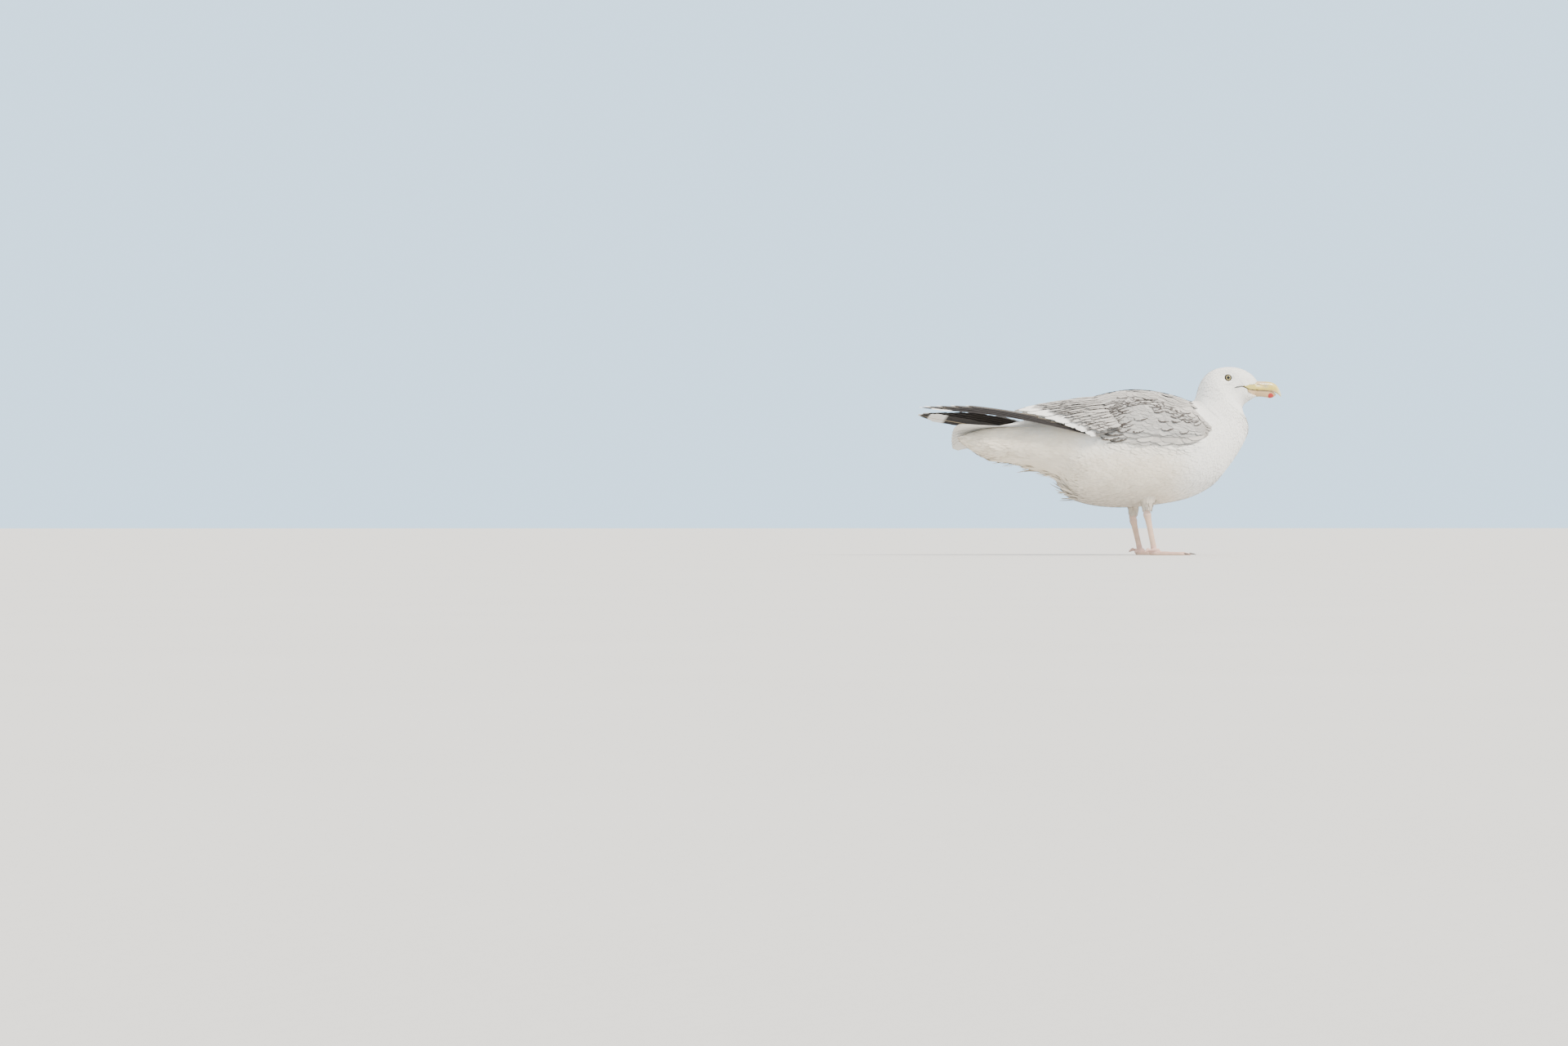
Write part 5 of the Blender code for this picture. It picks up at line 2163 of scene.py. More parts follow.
    def build_flank_row(self, side: Side, tree: FeatherTree) -> None:
        """The long white flank feathers that lap over the wing's lower edge.

        Args:
            side: the side of the bird.
            tree: the tree that places them.
        """
        s = side.value
        draw = np.random.RandomState(50 + s)
        place, angle, lift = [], [], []
        lowest, highest = self.flank_drops[0], self.flank_drops[-1]
        for row, off in enumerate(self.flank_drops):
            spots = np.arange(7.6 + 0.05 * row, 13.9, 0.06)
            spots = spots + draw.uniform(-0.04, 0.04, len(spots))
            place.append(spots)
            angle.append(self.wing.edge(spots) + off + draw.uniform(-1.2, 1.2, len(spots)))
            lift.append(np.full(len(spots), 0.3 + 0.7 * (lowest - off) / (lowest - highest)))
        place, angle, lift = np.concatenate(place), np.concatenate(angle), np.concatenate(lift)
        points = FORM.point(place, angle, s, -COAT.depth(place) + 0.4 * lift)
        normal = FORM.normal(place, angle, s)
        up = unit(FORM.point(place, angle - 2, s) - FORM.point(place, angle, s))
        slant = 0.12 + 0.2 * draw.uniform(size=(len(place), 1))
        lie = unit(squared(unit(FORM.rearwards(place, angle, s) + slant * up), normal))
        length = draw.uniform(15, 22, len(place))
        bed = Bed(
            points=metres(points),
            lie=lie,
            outwards=normal,
            size=(length, 0.27 * length, draw.uniform(2.2, 2.9, len(place)) * lift),
            tint=MARKINGS.body(points),
            patch=((angle - 80) / 20, (place - 7) / 7.2),
        )
        name = f"flank_feathers_{side.label}"
        tree.grow(bed, name, "white_plumage", Turn=0.16, Seed=60 + s)


# --- flight feathers ---


@dataclass
class Quill:
    """The middle line of a long feather, its directions across and up, and half its width."""

    line: Array
    across: Array
    up: Array
    half: Array

    def mixed(self, other: "Quill", share: float) -> "Quill":
        """A quill on the way from this one to another."""
        pairs = zip(astuple(self), astuple(other))
        return Quill(*(mine * (1 - share) + its * share for mine, its in pairs))


def read_quill(node: str, slices: int = 26) -> Quill:
    """Reads a long feather's solid in the frame, in slices across its length.

    Args:
        node: the CAD node.
        slices: how many slices.

    Returns:
        Its line in metres from root to tip, with one width for each slice.
    """
    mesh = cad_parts[node].data
    points = read_rows(mesh.vertices, "co")
    middle = points.mean(0)
    _, _, axes = np.linalg.svd(points - middle, full_matrices=False)
    along, across = axes[0] * (1 if axes[0][0] < 0 else -1), axes[1]
    up = np.cross(along, across)
    if up[2] < 0:
        up, across = -up, -across
    mesh.calc_loop_triangles()
    triangles = np.array([triangle.vertices[:] for triangle in mesh.loop_triangles])
    start = points[triangles.T.ravel()]
    end = points[np.roll(triangles, -1, axis=1).T.ravel()]
    reach_start, reach_end = (start - middle) @ along, (end - middle) @ along
    low, high = reach_start.min(), reach_start.max()
    line, half = [], []
    for stop in low + (high - low) * np.linspace(0.004, 0.996, slices):
        cut = (reach_start - stop) * (reach_end - stop) < 0
        share = (stop - reach_start[cut]) / (reach_end[cut] - reach_start[cut])
        ring = start[cut] + (end[cut] - start[cut]) * share[:, None] - middle
        v, w = ring @ across, ring @ up
        line.append(middle + along * stop + across * (v.min() + v.max()) / 2 + up * (w.min() + w.max()) / 2)
        half.append((v.max() - v.min()) / 2)
    return Quill(np.array(line), across, up, np.array(half))


@dataclass
class LongFeather:
    """A tertial, primary or tail feather: two webs on a raised shaft, thin and closed."""

    rows: int = 56
    columns: tuple[float, ...] = (-1, -0.86, -0.62, -0.36, -0.12, -0.05, 0.0, 0.05, 0.12, 0.36, 0.62, 0.86, 1)
    thickness: float = 0.45
    shaft_rise: float = 0.55
    camber: float = 0.10
    shaft_off: float = 0.0  # share of the half width by which the shaft lies off the middle
    notches: int = 3

    def build(self, quill: Quill, colour: Colouring, seed: int) -> tuple[Array, list[Face], Array, Array]:
        """Makes one feather.

        Args:
            quill: its line, directions and widths.
            colour: gives colours from shares along and across.
            seed: number for its own wear.

        Returns:
            Its points in metres, faces, colours, and places on the vane.
        """
        draw = np.random.RandomState(seed)
        share = 1 - (1 - np.linspace(0, 1, self.rows)) ** 1.45
        line = read_line(share, quill.line)
        side = unit(read_line(share, np.broadcast_to(quill.across, quill.line.shape)))
        rise = unit(read_line(share, np.broadcast_to(quill.up, quill.line.shape)))
        half = read_line(share, quill.half[:, None])
        spots = np.array(self.columns)
        worn = np.ones((self.rows, 2))
        for _ in range(self.notches):
            at, depth, web = draw.uniform(0.35, 0.97), draw.uniform(0.05, 0.17), draw.randint(2)
            worn[:, web] -= depth * ridge(share - at, 0.012)
        worn += 0.02 * np.sin(share[:, None] * np.array([90.0, 113.0]) + draw.uniform(0, 6, 2))
        chance = draw.uniform()
        spread = half * np.where(spots < 0, worn[:, :1], worn[:, 1:])
        y = spots * spread + self.shaft_off * half * (1 - spots**2)
        shaft = self.shaft_rise * MM * (1 - 0.75 * share[:, None]) * ridge(spots, 0.07)
        z = shaft - self.camber * half * spots**2
        back = 0.16 * half * np.abs(spots) * (share > 0.9)[:, None]
        ahead = unit(np.vstack([line[1:], line[-1:]]) - np.vstack([line[:1], line[:-1]]))
        top = line[:, None] + side[:, None] * y[..., None] + rise[:, None] * z[..., None]
        top = top - ahead[:, None] * back[..., None]
        bottom = top - rise[:, None] * (self.thickness * MM * (1 - 0.6 * np.abs(spots)))[:, None]
        points = np.vstack([top.reshape(-1, 3), bottom.reshape(-1, 3)])
        along, across = np.repeat(share, len(spots)), np.tile(spots, self.rows)
        tints = colour(along, across)
        vane = np.stack([along, across, np.full(len(along), chance)], 1)
        faces = slab_faces(self.rows, len(spots))
        # the undersides take the colours at 0.85: painted shade
        return points, faces, np.vstack([tints, tints * 0.85]), np.vstack([vane, vane])


class FeatherSheaf:
    """Gathers long feathers into one piece."""

    def __init__(self, worn: float = 0.0, worn_until: float = 1.0) -> None:
        """Starts empty, with how dark the feathers' edges are, and how far along."""
        self.worn, self.worn_until = worn, worn_until
        self.feathers: list[tuple[Array, list[Face], Array, Array]] = []

    def add(self, points: Array, faces: list[Face], tints: Array, vanes: Array) -> None:
        """Adds one feather."""
        self.feathers.append((points, faces, tints, vanes))

    def piece(self, name: str, finish: Finish, slot: str, nodes: Sequence[str]) -> None:
        """Makes the joined piece, maps each feather to a small patch and ties it to the frame.

        Args:
            name: the piece's name.
            finish: what it is made of.
            slot: not used.
            nodes: the CAD nodes that it stands for.
        """
        faces, patches, count = [], [], 0
        for k, (points, own_faces, _, vane) in enumerate(self.feathers):
            faces += [[i + count for i in face] for face in own_faces]
            count += len(points)
            root = np.array([(k + 0.5) / len(self.feathers), 0.5 + 1.8 * points[:13, 0].mean()])
            patches.append(root + 0.003 * (vane[:, :2] - (0.5, 0)) * (1, 0.5))
        points, tints, vanes = (np.vstack([feather[k] for feather in self.feathers]) for k in (0, 2, 3))
        made = make_mesh(name, points, faces)
        corners = np.zeros(len(made.data.loops), np.int32)
        made.data.loops.foreach_get("vertex_index", corners)
        made.data.uv_layers.new(name="OFBake").data.foreach_set("uv", np.vstack(patches)[corners].ravel())
        store(made.data, "tint", tints)
        store(made.data, "vane", vanes)
        # dark edges: wear, and painted shadow of the gaps between feathers
        fringe = self.worn * smoothstep(self.worn_until, self.worn_until - 0.08, vanes[:, 0])
        store(made.data, "fringe", fringe)
        face_outwards(made.data)
        made.data.set_sharp_from_angle(angle=math.radians(65))
        finish_piece(made, finish, nodes)


class QuillFan:
    """A spread of long feathers on one side, read between their solids."""

    def __init__(self, nodes: Sequence[str]) -> None:
        """Reads the solids, each beside the one before."""
        self.quills = [read_quill(node) for node in nodes]

    def at(self, spot: float) -> Quill:
        """The quill at a spot of the fan, 0 at the first solid, 1 at the second and so on."""
        low = int(min(max(spot, 0.0), len(self.quills) - 2))
        return self.quills[low].mixed(self.quills[low + 1], spot - low)


@dataclass
class FlightFeathers:
    """Tertials with broad white tips under long streaked feathers, and black primaries."""

    side: Side
    tertial_tip: float = 0.79
    primary_tip: float = 0.968
    mirror: Pair = (0.81, 0.925)
    longest_tip: float = 0.988
    blades: int = 8
    root_sink: float = 3.0
    streak_lines: int = 17
    streak_tilt: float = 0.30
    streak_starts: tuple[float, ...] = (-0.02, 0.10, 0.22, 0.33, 0.43)
    covert_lines: int = 13
    covert_starts: tuple[float, ...] = (34, 20, 6)  # millimetres before the quills' roots

    def build(self, tree: FeatherTree) -> None:
        """Makes every group on this side.

        Args:
            tree: the tree for feathers in rows.
        """
        tertials = [f"tertial_{self.side.label}_{k}" for k in (1, 2, 3, 4)]
        primaries = [f"primary_{self.side.label}_{k}" for k in (10, 9, 8, 7, 6)]
        fan = QuillFan(tertials)
        self.build_tertials(fan, tertials)
        self.build_streaks(fan, tree)
        self.build_primaries(primaries)
        if self.side is Side.LEFT:  # this wing hangs a little, so its quills' roots come out
            self.build_quill_coverts(QuillFan(primaries), tree)

    def tertial_colour(self, along: Array, off: Array) -> Array:
        """Grey with a broad white end."""
        white = smoothstep(self.tertial_tip - 0.02, self.tertial_tip + 0.04, along + 0.06 * off**2)
        return layered(np.array(COVERT_GREY) * 0.92, len(along), (WHITE, white))

    def build_tertials(self, fan: QuillFan, nodes: Sequence[str]) -> None:
        """The grey blades over the folded hand, each over the one below it.

        Args:
            fan: the tertials' solids, read.
            nodes: their names.
        """
        sheaf = FeatherSheaf(0.75, self.tertial_tip)
        feather = LongFeather(camber=0.14, notches=3, thickness=0.5)
        for k, spot in enumerate(np.linspace(0, 3, self.blades)):
            quill = fan.at(spot)
            rooted = 1 - smoothstep(0, 0.45, np.linspace(0, 1, len(quill.line)))
            sink = (self.root_sink * rooted + 0.9 * (k % 2)) * MM
            quill.line = quill.line - unit(quill.up) * sink[:, None]
            quill.half = quill.half * 1.02
            sheaf.add(*feather.build(quill, self.tertial_colour, 70 + k))
        sheaf.piece(f"tertials_{self.side.label}", MANTLE_FINISH, "grey_plumage", nodes)

    def build_streaks(self, fan: QuillFan, tree: FeatherTree) -> None:
        """Long narrow dark-edged feathers that fan out over the tertials' roots.

        Args:
            fan: the tertials' solids, read.
            tree: the tree that places them.
        """
        s = self.side.value
        draw = np.random.RandomState(30 + s)
        rows = []
        for k, spot in enumerate(np.linspace(-0.05, 3.15, self.streak_lines)):
            quill = fan.at(spot)
            inner = min(spot, 2.8)
            below = unit((fan.at(inner + 0.15).line - fan.at(inner).line).mean(0))
            up = unit(unit(quill.up) - self.streak_tilt * float(smoothstep(-0.1, 0.9, spot)) * below)
            span = float(np.linalg.norm(quill.line[-1] - quill.line[0]))
            for start in self.streak_starts:
                begin = start + 0.06 * (k % 2) + draw.uniform(-0.02, 0.02)
                here, ahead = read_line(np.maximum((begin, begin + 0.3), 0), quill.line)
                lie = unit(ahead - here)
                root = here + min(begin, 0.0) * lie * span - up * 0.6 * MM
                length = 0.35 * span / MM * draw.uniform(0.85, 1.1)
                width = 6.0 + 1.4 * draw.uniform()
                rise = 1.8 * draw.uniform(0.8, 1.3)
                rows.append((*root, *lie, *up, length, width, rise, draw.uniform(), begin, spot))
        table = np.array(rows)
        chance, begin, spot = table[:, 12:].T
        bed = Bed(
            points=table[:, :3],
            lie=table[:, 3:6],
            outwards=table[:, 6:9],
            size=table[:, 9:12].T,
            tint=np.array(MANTLE) * (0.95 + 0.08 * np.sin(60 * chance))[:, None],
            patch=(0.2 + 0.8 * begin, (spot + 0.5) / 4),
            # dark edges: wear, and painted shadow of the gaps between the streaked feathers
            fringe=np.where(chance < 0.72, 0.95, 0.3),
        )
        name = f"streaked_feathers_{self.side.label}"
        tree.grow(bed, name, "grey_plumage", 0.05, Turn=0.05, Seed=33 + s)

    def build_quill_coverts(self, fan: QuillFan, tree: FeatherTree) -> None:
        """Grey coverts that lap from under the wing over the roots of the black feathers.

        Args:
            fan: the primaries' solids, read.
            tree: the tree that places them.
        """
        s = self.side.value
        draw = np.random.RandomState(80 + s)
        rows = []
        for spot in np.linspace(0, 4, self.covert_lines):
            quill = fan.at(spot)
            along = unit(quill.line[4] - quill.line[0])
            outwards = unit(quill.up + np.array([0.0, 0.5 * s, 0.0]))
            lie = unit(along - 0.02 * outwards)
            for start in self.covert_starts:
                root = quill.line[0] - along * (start + 4 * draw.uniform(-1, 1)) * MM + outwards * 0.2 * MM
                size = draw.uniform(40, 50), draw.uniform(12, 15), draw.uniform(2.2, 3.2)
                rows.append((*root, *lie, *outwards, *size, draw.uniform(), start, spot))
        table = np.array(rows)
        chance, start, spot = table[:, 12:].T
        bed = Bed(
            points=table[:, :3],
            lie=table[:, 3:6],
            outwards=table[:, 6:9],
            size=table[:, 9:12].T,
            tint=np.array(COVERT_GREY) * (0.95 + 0.1 * chance)[:, None],
            patch=(spot / 5, 0.2 + start / 100),
            # dark edges: wear, and painted shadow of the gaps between the coverts
            fringe=np.where(chance < 0.4, 0.8, 0.1),
        )
        name = f"quill_coverts_{self.side.label}"
        tree.grow(bed, name, "grey_plumage", 0.05, Turn=0.04, Seed=43 + s)

    def build_primaries(self, nodes: Sequence[str]) -> None:
        """The five outer flight feathers, the longest first.

        Args:
            nodes: their CAD nodes.
        """
        sheaf = FeatherSheaf()
        for k, node in enumerate(nodes):
            quill = read_quill(node)
            outer = -1 if quill.across[1] * self.side.value < 0 else 1
            feather = LongFeather(shaft_off=0.34 * outer, camber=0.08, notches=4, rows=72, thickness=0.4)
            colour = partial(self.primary_colour, outer, k == 0)
            sheaf.add(*feather.build(quill, colour, 90 + k))
        sheaf.piece(f"primaries_{self.side.label}", QUILL_FINISH, "black_plumage", nodes)

    def primary_colour(self, outer: int, longest: bool, along: Array, off: Array) -> Array:
        """Black with a white tip, and a white mirror on the longest.

        Args:
            outer: the sign of the outer web's side.
            longest: whether it is the longest.
            along: shares along the feather.
            off: shares across it.

        Returns:
            One colour for each point.
        """
        tip = self.longest_tip if longest else self.primary_tip
        start, end = self.mirror
        mirror = smoothstep(start, start + 0.015, along) * smoothstep(end + 0.01, end, along)
        return layered(
            QUILL_BLACK,
            len(along),
            (QUILL_BROWN, 0.5 * smoothstep(0.5, 1.0, off * -outer)),
            (WHITE, smoothstep(tip - 0.006, tip + 0.006, along + 0.012 * off**2)),
            (WHITE, mirror * longest),
        )


@dataclass
class Tail:
    """Twelve white tail feathers, folded over each other like a fan."""

    root_x: float = -62
    tip_x: float = -212
    root_z: float = 186
    tip_z: float = 176
    root_half: float = 15
    tip_half: float = 49
    arch: float = 10
    roll: float = 25
    corner: float = 9
    feathers: int = 12
    slices: int = 26
    width: float = 21

    def spot(self, share: Array, place: float) -> Array:
        """Points of the fan's middle sheet, in millimetres of the pattern.

        Args:
            share: shares from root to tip.
            place: where across the fan, from -1 to 1.

        Returns:
            One point for each share.
        """
        half = self.root_half + (self.tip_half - self.root_half) * share**0.8
        roll = np.radians(self.roll) * share
        short = self.corner * abs(place) ** 2.2
        x = self.root_x + (self.tip_x + short - self.root_x) * share
        z = self.root_z + (self.tip_z - self.root_z) * share - self.arch * share * place**2
        return np.stack([x, half * place * np.cos(roll), z - half * place * np.sin(roll)], -1)

    def colour(self, along: Array, off: Array) -> Array:
        """White, a little worn at the end."""
        return layered(WHITE, len(along), (TAIL_WORN, 0.5 * smoothstep(0.94, 1.0, along)))

    def build(self) -> None:
        """Makes the fan."""
        sheaf = FeatherSheaf()
        share = np.linspace(0, 1, self.slices)
        blunt = np.clip((share - 0.93) / 0.07, 0, 1)
        half = 0.5 * self.width * (0.55 + 0.45 * np.minimum(1, share / 0.3))
        half = half * np.maximum(0.25, np.sqrt(1 - 0.92 * blunt**2))
        for k in range(self.feathers):
            place = -1 + 2 * (k + 0.5) / self.feathers
            place = place * (1 - 0.5 * self.width / self.tip_half / 1.15 * abs(place))
            near = self.spot(share, place)
            across = unit(self.spot(share, place + 0.05) - near)
            up = unit(np.cross(across, unit(np.gradient(near, axis=0))))
            up = np.where(up[:, 2:3] < 0, -up, up)
            layer = 2.42 * (1 - abs(place)) - 0.6
            feather = LongFeather(shaft_off=-0.25 * math.copysign(1, place), notches=3, thickness=0.4)
            quill = Quill(metres(near + up * layer), across, up, half * MM)
            sheaf.add(*feather.build(quill, self.colour, 130 + k))
        sheaf.piece("tail_fan", TAIL_FINISH, "loose_plumage", ("tail",))


# --- legs ---


@dataclass
class Leg:
    """One leg: a single scaly skin from thigh to toes, horn claws and a cuff of feathers."""

    side: Side
    swell: float = 0.45
    voxel: float = 0.62
    smoothing: int = 6
    scute_step: float = 3.1
    toe_scute_step: float = 2.5
    scute_height: float = 0.22
    rear_scute_height: float = 0.14
    toe_scute_height: float = 0.22
    claw_growth: float = 1.28
    heel_reach: float = 2.6  # how far ahead of the hind toe's tip its root lies, in toe lengths
    heel_height: float = 11.0
    heel_balls: int = 7
    cuff_step: float = 2.0
    cuff_radius: float = 5.5

    def build(self) -> None:
        """Makes the leg's skin and claws."""
        label = self.side.label
        names = [f"{part}_{label}" for part in ("tibia", "tarsus", "foot", "hind_toe")]
        skin = self.fuse(names, f"leg_{label}")
        self.add_scutes(skin.data)
        skin.data.shade_smooth()
        finish_piece(skin, LEG_FINISH, names)
        for toe in ("inner", "middle", "outer"):
            self.build_claw(f"claw_{label}_{toe}")

    def fuse(self, names: Sequence[str], name: str) -> bpy.types.Object:
        """One closed skin from several solids.

        Args:
            names: the CAD nodes.
            name: the result's name.

        Returns:
            The fused piece, as wide as the solids were.
        """
        shape = bmesh.new()
        for node in names:
            part = merged_solid(node)
            bmesh.ops.recalc_face_normals(part, faces=part.faces)
            part.normal_update()
            for vert in part.verts:
                vert.co += vert.normal * self.swell * MM
            shape.from_mesh(mesh_from(part, "part"))
        self.bridge(shape)
        rough = add_object(f"{name}_rough", mesh_from(shape, name))
        remesh = rough.modifiers.new("fuse", "REMESH")
        remesh.mode = "VOXEL"
        remesh.voxel_size = self.voxel * MM
        made = plain_copy(rough, name)
        shape = bmesh.new()
        shape.from_mesh(made.data)
        for _ in range(self.smoothing):
            bmesh.ops.smooth_vert(
                shape, verts=shape.verts, factor=0.5, use_axis_x=True, use_axis_y=True, use_axis_z=True
            )
        shape.normal_update()
        shape.to_mesh(made.data)
        shape.free()
        return made

    def bridge(self, shape: bmesh.types.BMesh) -> None:
        """Adds the root of the hind toe, from the toe into the shank.

        Args:
            shape: the leg's joined solids.
        """
        low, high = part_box(f"hind_toe_{self.side.label}")
        toe = (low + high) / 2
        reach = (high.x - low.x) * self.heel_reach
        heel = Vector((low.x + reach, toe.y, min(toe.z, self.heel_height * MM)))
        for share in np.linspace(0, 1, self.heel_balls):
            radius = (1.9 + 0.9 * share) * MM
            place = Matrix.Translation(toe.lerp(heel, share))
            bmesh.ops.create_icosphere(shape, subdivisions=2, radius=radius, matrix=place)

    def rings(self, run: Array, step: float) -> Array:
        """1 on the plates and 0 in the grooves between them."""
        return np.minimum(1, 2.2 * (0.5 - 0.5 * np.cos(2 * math.pi * run / step)))

    def add_scutes(self, mesh: bpy.types.Mesh) -> None:
        """Presses the grooves of the plates into shank and toes, and colours the skin.

        Args:
            mesh: the leg's skin.
        """
        points, normals = read_rows(mesh.vertices, "co"), read_rows(mesh.vertex_normals, "vector")
        x, y, z = (points / MM).T
        low, high = (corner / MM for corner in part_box(f"tarsus_{self.side.label}"))
        shank = smoothstep(12, 17, z) * smoothstep(high.z - 2, high.z - 9, z)
        front = shank * smoothstep(0.15, 0.6, normals[:, 0])
        rear = shank * smoothstep(0.3, 0.7, -normals[:, 0])
        run = np.hypot(x - (low.x + high.x) / 2, y - (low.y + high.y) / 2)
        toe = smoothstep(3.0, 3.8, z) * smoothstep(9.5, 7.0, z)
        toe = toe * smoothstep(0.2, 0.6, normals[:, 2]) * smoothstep(9, 13, run)
        groove = 1 - self.rings(z, self.scute_step)
        toe_groove = toe * (1 - self.rings(run, self.toe_scute_step))
        sunk = (self.scute_height * front + self.rear_scute_height * rear) * groove
        sunk = 0.32 * self.swell + sunk + self.toe_scute_height * toe_groove
        points = points - normals * (sunk * MM)[:, None]
        points[:, 2] = np.where(z < 0.7, 0.0, np.maximum(points[:, 2], 0.0))
        write_points(mesh, points)
        joint = smoothstep(high.z - 10, high.z - 2, z) * smoothstep(high.z + 9, high.z + 2, z)
        sole = smoothstep(-0.5, -0.9, normals[:, 2]) * (z < 3)
        tint = layered(
            FLESH,
            len(z),
            (FLESH_YELLOW, 0.30 * shank + 0.25 * smoothstep(3.2, 2.4, z)),
            (FLESH_DARK, 0.45 * groove * front + 0.5 * toe_groove),
            (ANKLE_SKIN, 0.5 * joint),
            (SOLE_DARK, 0.7 * sole),
        )
        store(mesh, "tint", tint)

    def build_claw(self, node: str) -> None:
        """A smooth dark claw in place of its faceted solid.

        Args:
            node: the CAD node.
        """
        rough = add_object(f"{node}_rough", mesh_from(merged_solid(node), node))
        round_off = rough.modifiers.new("round", "SUBSURF")
        round_off.levels = round_off.render_levels = 2
        made = plain_copy(rough, node.replace("claw_", "horn_claw_"))
        points = read_rows(made.data.vertices, "co")
        tip = points[np.argmax(points[:, 0])]
        points = tip + (points - tip) * self.claw_growth
        points[:, 2] = np.maximum(points[:, 2], 0.1 * MM)
        write_points(made.data, points)
        share = (points[:, 0] - points[:, 0].min()) / np.ptp(points[:, 0])
        store(made.data, "tint", layered(CLAW_ROOT, len(points), (CLAW_TIP, smoothstep(0.2, 0.9, share))))
        made.data.shade_smooth()
        finish_piece(made, CLAW_FINISH, (node,))

    def build_cuff(self, tree: FeatherTree) -> None:
        """Short white feathers round the thigh, where the leg leaves the belly.

        Args:
            tree: the tree that places them.
        """
        s = self.side.value
        draw = np.random.RandomState(80 + s)
        low, high = (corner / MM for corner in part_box(f"tibia_{self.side.label}"))
        middle = (low + high) / 2
        rows = []
        for z in np.arange(high.z + 9, low.z + 11, -self.cuff_step):
            share = min(1.0, (z - low.z) / (high.z - low.z))
            radius = self.cuff_radius + 3.2 * share + 0.5 * max(0.0, z - high.z)
            turns = np.linspace(0, 2 * math.pi, int(radius * 3.6), endpoint=False)
            for turn in turns + draw.uniform(0, 0.3):
                x, y = math.cos(turn), math.sin(turn)
                root = middle.x + MIDDLE_X + radius * x, middle.y + radius * y, z + draw.uniform(-1, 1)
                rows.append((*root, x, y, 0, (6.5 + 5.5 * share) * draw.uniform(0.8, 1.2), turn))
        table = np.array(rows)
        points, normal, (length, turn) = table[:, :3], table[:, 3:6], table[:, 6:].T
        lie = unit(np.array([-0.10, 0.0, -1.0]) - 0.22 * normal)
        bed = Bed(
            points=metres(points),
            lie=lie,
            outwards=unit(squared(normal, lie)),
            size=(length, 0.30 * length, 0.8),
            tint=MARKINGS.body(points),
            patch=(turn / 6.3, (points[:, 2] - 64) / 18),
        )
        name = f"thigh_feathers_{self.side.label}"
        tree.grow(bed, name, "white_plumage", Turn=0.2, Seed=90 + s)


# --- studio ---


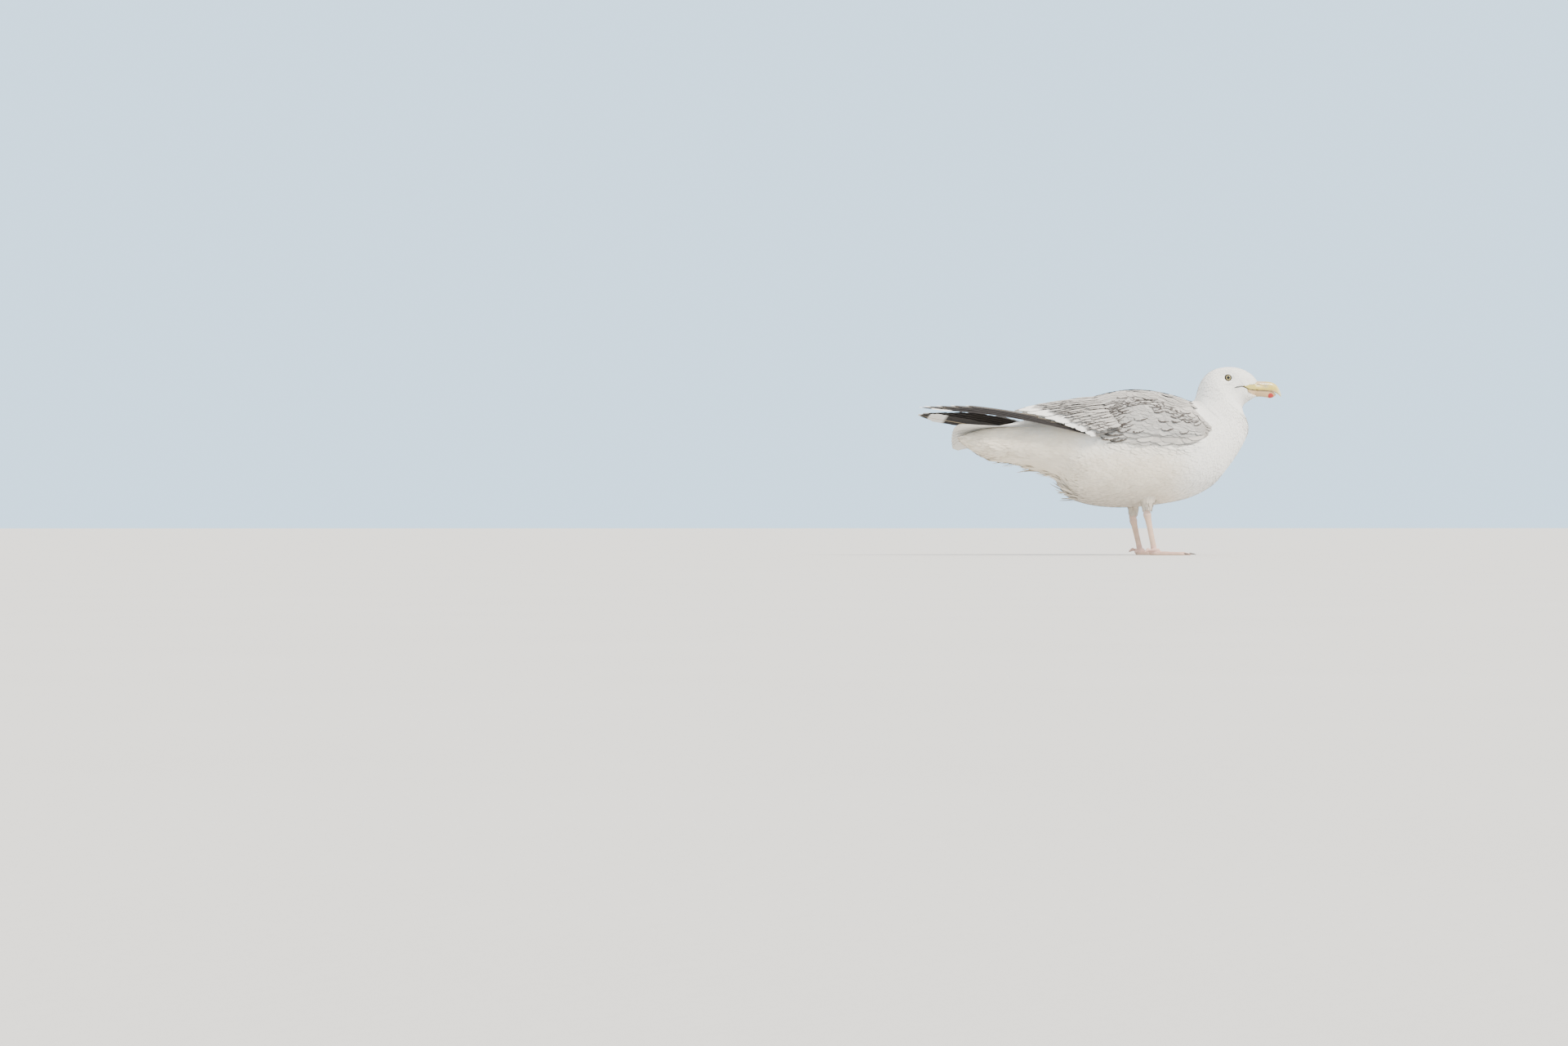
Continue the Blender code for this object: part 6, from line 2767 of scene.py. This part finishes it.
@dataclass
class Studio:
    """Floor, sky, sun and camera."""

    azimuth: float = -12.0
    distance: float = 6.0
    height: float = 0.046
    aside: float = 0.4532
    lens: float = 96.0
    sky: tuple[float, float, float] = (0.58, 0.80, 1.0)
    overhead: tuple[float, float, float] = (0.93, 0.92, 0.90)
    sky_strength: float = 2.15
    floor_reach: float = 30.0
    floor_cells: int = 24
    sun_at: tuple[float, float, float] = (2.0, -1.7, 2.7)
    sun_strength: float = 6.2
    sun_colour: tuple[float, float, float] = (1.0, 0.93, 0.82)
    sun_spread: float = 12  # degrees, which soften the shadows

    def build(self) -> None:
        """Sets up the whole stage."""
        self.build_floor()
        self.build_sky()
        self.build_sun()
        self.build_camera()

    def build_floor(self) -> None:
        """A wide flat floor."""
        steps = np.linspace(-self.floor_reach, self.floor_reach, self.floor_cells + 1)
        x, y = np.meshgrid(steps, steps, indexing="ij")
        points = np.stack([x.ravel(), y.ravel(), 0 * x.ravel()], 1)
        faces = [f[::-1] for f in grid_faces(len(steps), len(steps))]
        floor = make_mesh("floor", points, faces)
        floor.data.materials.append(FLOOR_FINISH.material())

    def build_sky(self) -> None:
        """A sky that is blue low down and pale overhead."""
        world = bpy.data.worlds.new("studio_sky")
        world.use_nodes = True
        board = Board(world.node_tree)
        place = board.add("ShaderNodeTexCoord").outputs["Generated"]
        split = board.add("ShaderNodeSeparateXYZ", {0: place})
        ramp = board.add("ShaderNodeValToRGB", {0: split.outputs["Z"]})
        stops = (0.12, self.sky), (0.55, self.overhead)
        for element, (position, colour) in zip(ramp.color_ramp.elements, stops):
            element.position = position
            element.color = (*colour, 1.0)
        ground = world.node_tree.nodes["Background"]
        board.plug(ground, "Color", ramp.outputs["Color"])
        board.plug(ground, "Strength", self.sky_strength)
        bpy.context.scene.world = world

    def build_sun(self) -> None:
        """One broad even light from the front right."""
        data = bpy.data.lights.new("key_light", "SUN")
        data.energy = self.sun_strength
        data.color = self.sun_colour
        data.angle = math.radians(self.sun_spread)
        lamp = add_object("key_light", data)
        lamp.location = self.sun_at
        lamp.rotation_euler = (-Vector(self.sun_at)).to_track_quat("-Z", "Y").to_euler()

    def build_camera(self) -> None:
        """The camera, low and level, with the bird to the right of the middle."""
        turn = math.radians(self.azimuth)
        at = Vector((self.distance * math.sin(turn), -self.distance * math.cos(turn), self.height))
        heading = math.atan2(-at.y, -at.x) + math.atan(self.aside / self.distance)
        forward = Vector((math.cos(heading), math.sin(heading), 0))
        data = bpy.data.cameras.new("camera")
        data.lens = self.lens
        data.sensor_width = 36.0
        data.clip_start = 0.05
        data.clip_end = 200.0
        camera = add_object("camera", data)
        camera.location = at
        camera.rotation_euler = forward.to_track_quat("-Z", "Y").to_euler()
        bpy.context.scene.camera = camera


def build_vanes(shapes: Sequence[VaneShape], turned: int = 1) -> list[bpy.types.Object]:
    """The small feathers of a kind, turned to one side of the bird."""
    return [replace(shape, turned=turned).build() for shape in shapes]


def main() -> None:
    """Builds the bird part by part, then its stage."""
    logging.basicConfig(level=logging.INFO, format="%(name)s: %(message)s")
    probe = Skin().build()
    Bill().build()
    for side in Side:
        Eye(side).build()
        Gape(side).build(probe)
    fine, soft = build_vanes(FINE_VANES), build_vanes(SOFT_VANES)
    fine_tree = FeatherTree("fine_feathers", True, fine, DOWN_FINISH)
    soft_tree = FeatherTree("soft_feathers", True, soft, DOWN_FINISH)
    row_tree = FeatherTree("rowed_feathers", False, soft, DOWN_FINISH)
    Plumage(Wing(Side.RIGHT)).build(fine_tree, soft_tree, row_tree)
    vanes = fine + soft
    for side in Side:
        broad, streaks = (build_vanes(shapes, -side.value) for shapes in (BROAD_VANES, STREAK_VANES))
        Wing(side).build(FeatherTree(f"wing_rows_{side.label}", False, broad, MANTLE_FINISH))
        FlightFeathers(side).build(FeatherTree(f"streak_rows_{side.label}", False, streaks, MANTLE_FINISH))
        leg = Leg(side)
        leg.build()
        leg.build_cuff(row_tree)
        vanes += broad + streaks
    Tail().build()
    for vane in vanes:
        bpy.data.objects.remove(vane)
    Studio().build()


if __name__ == "__main__":
    main()
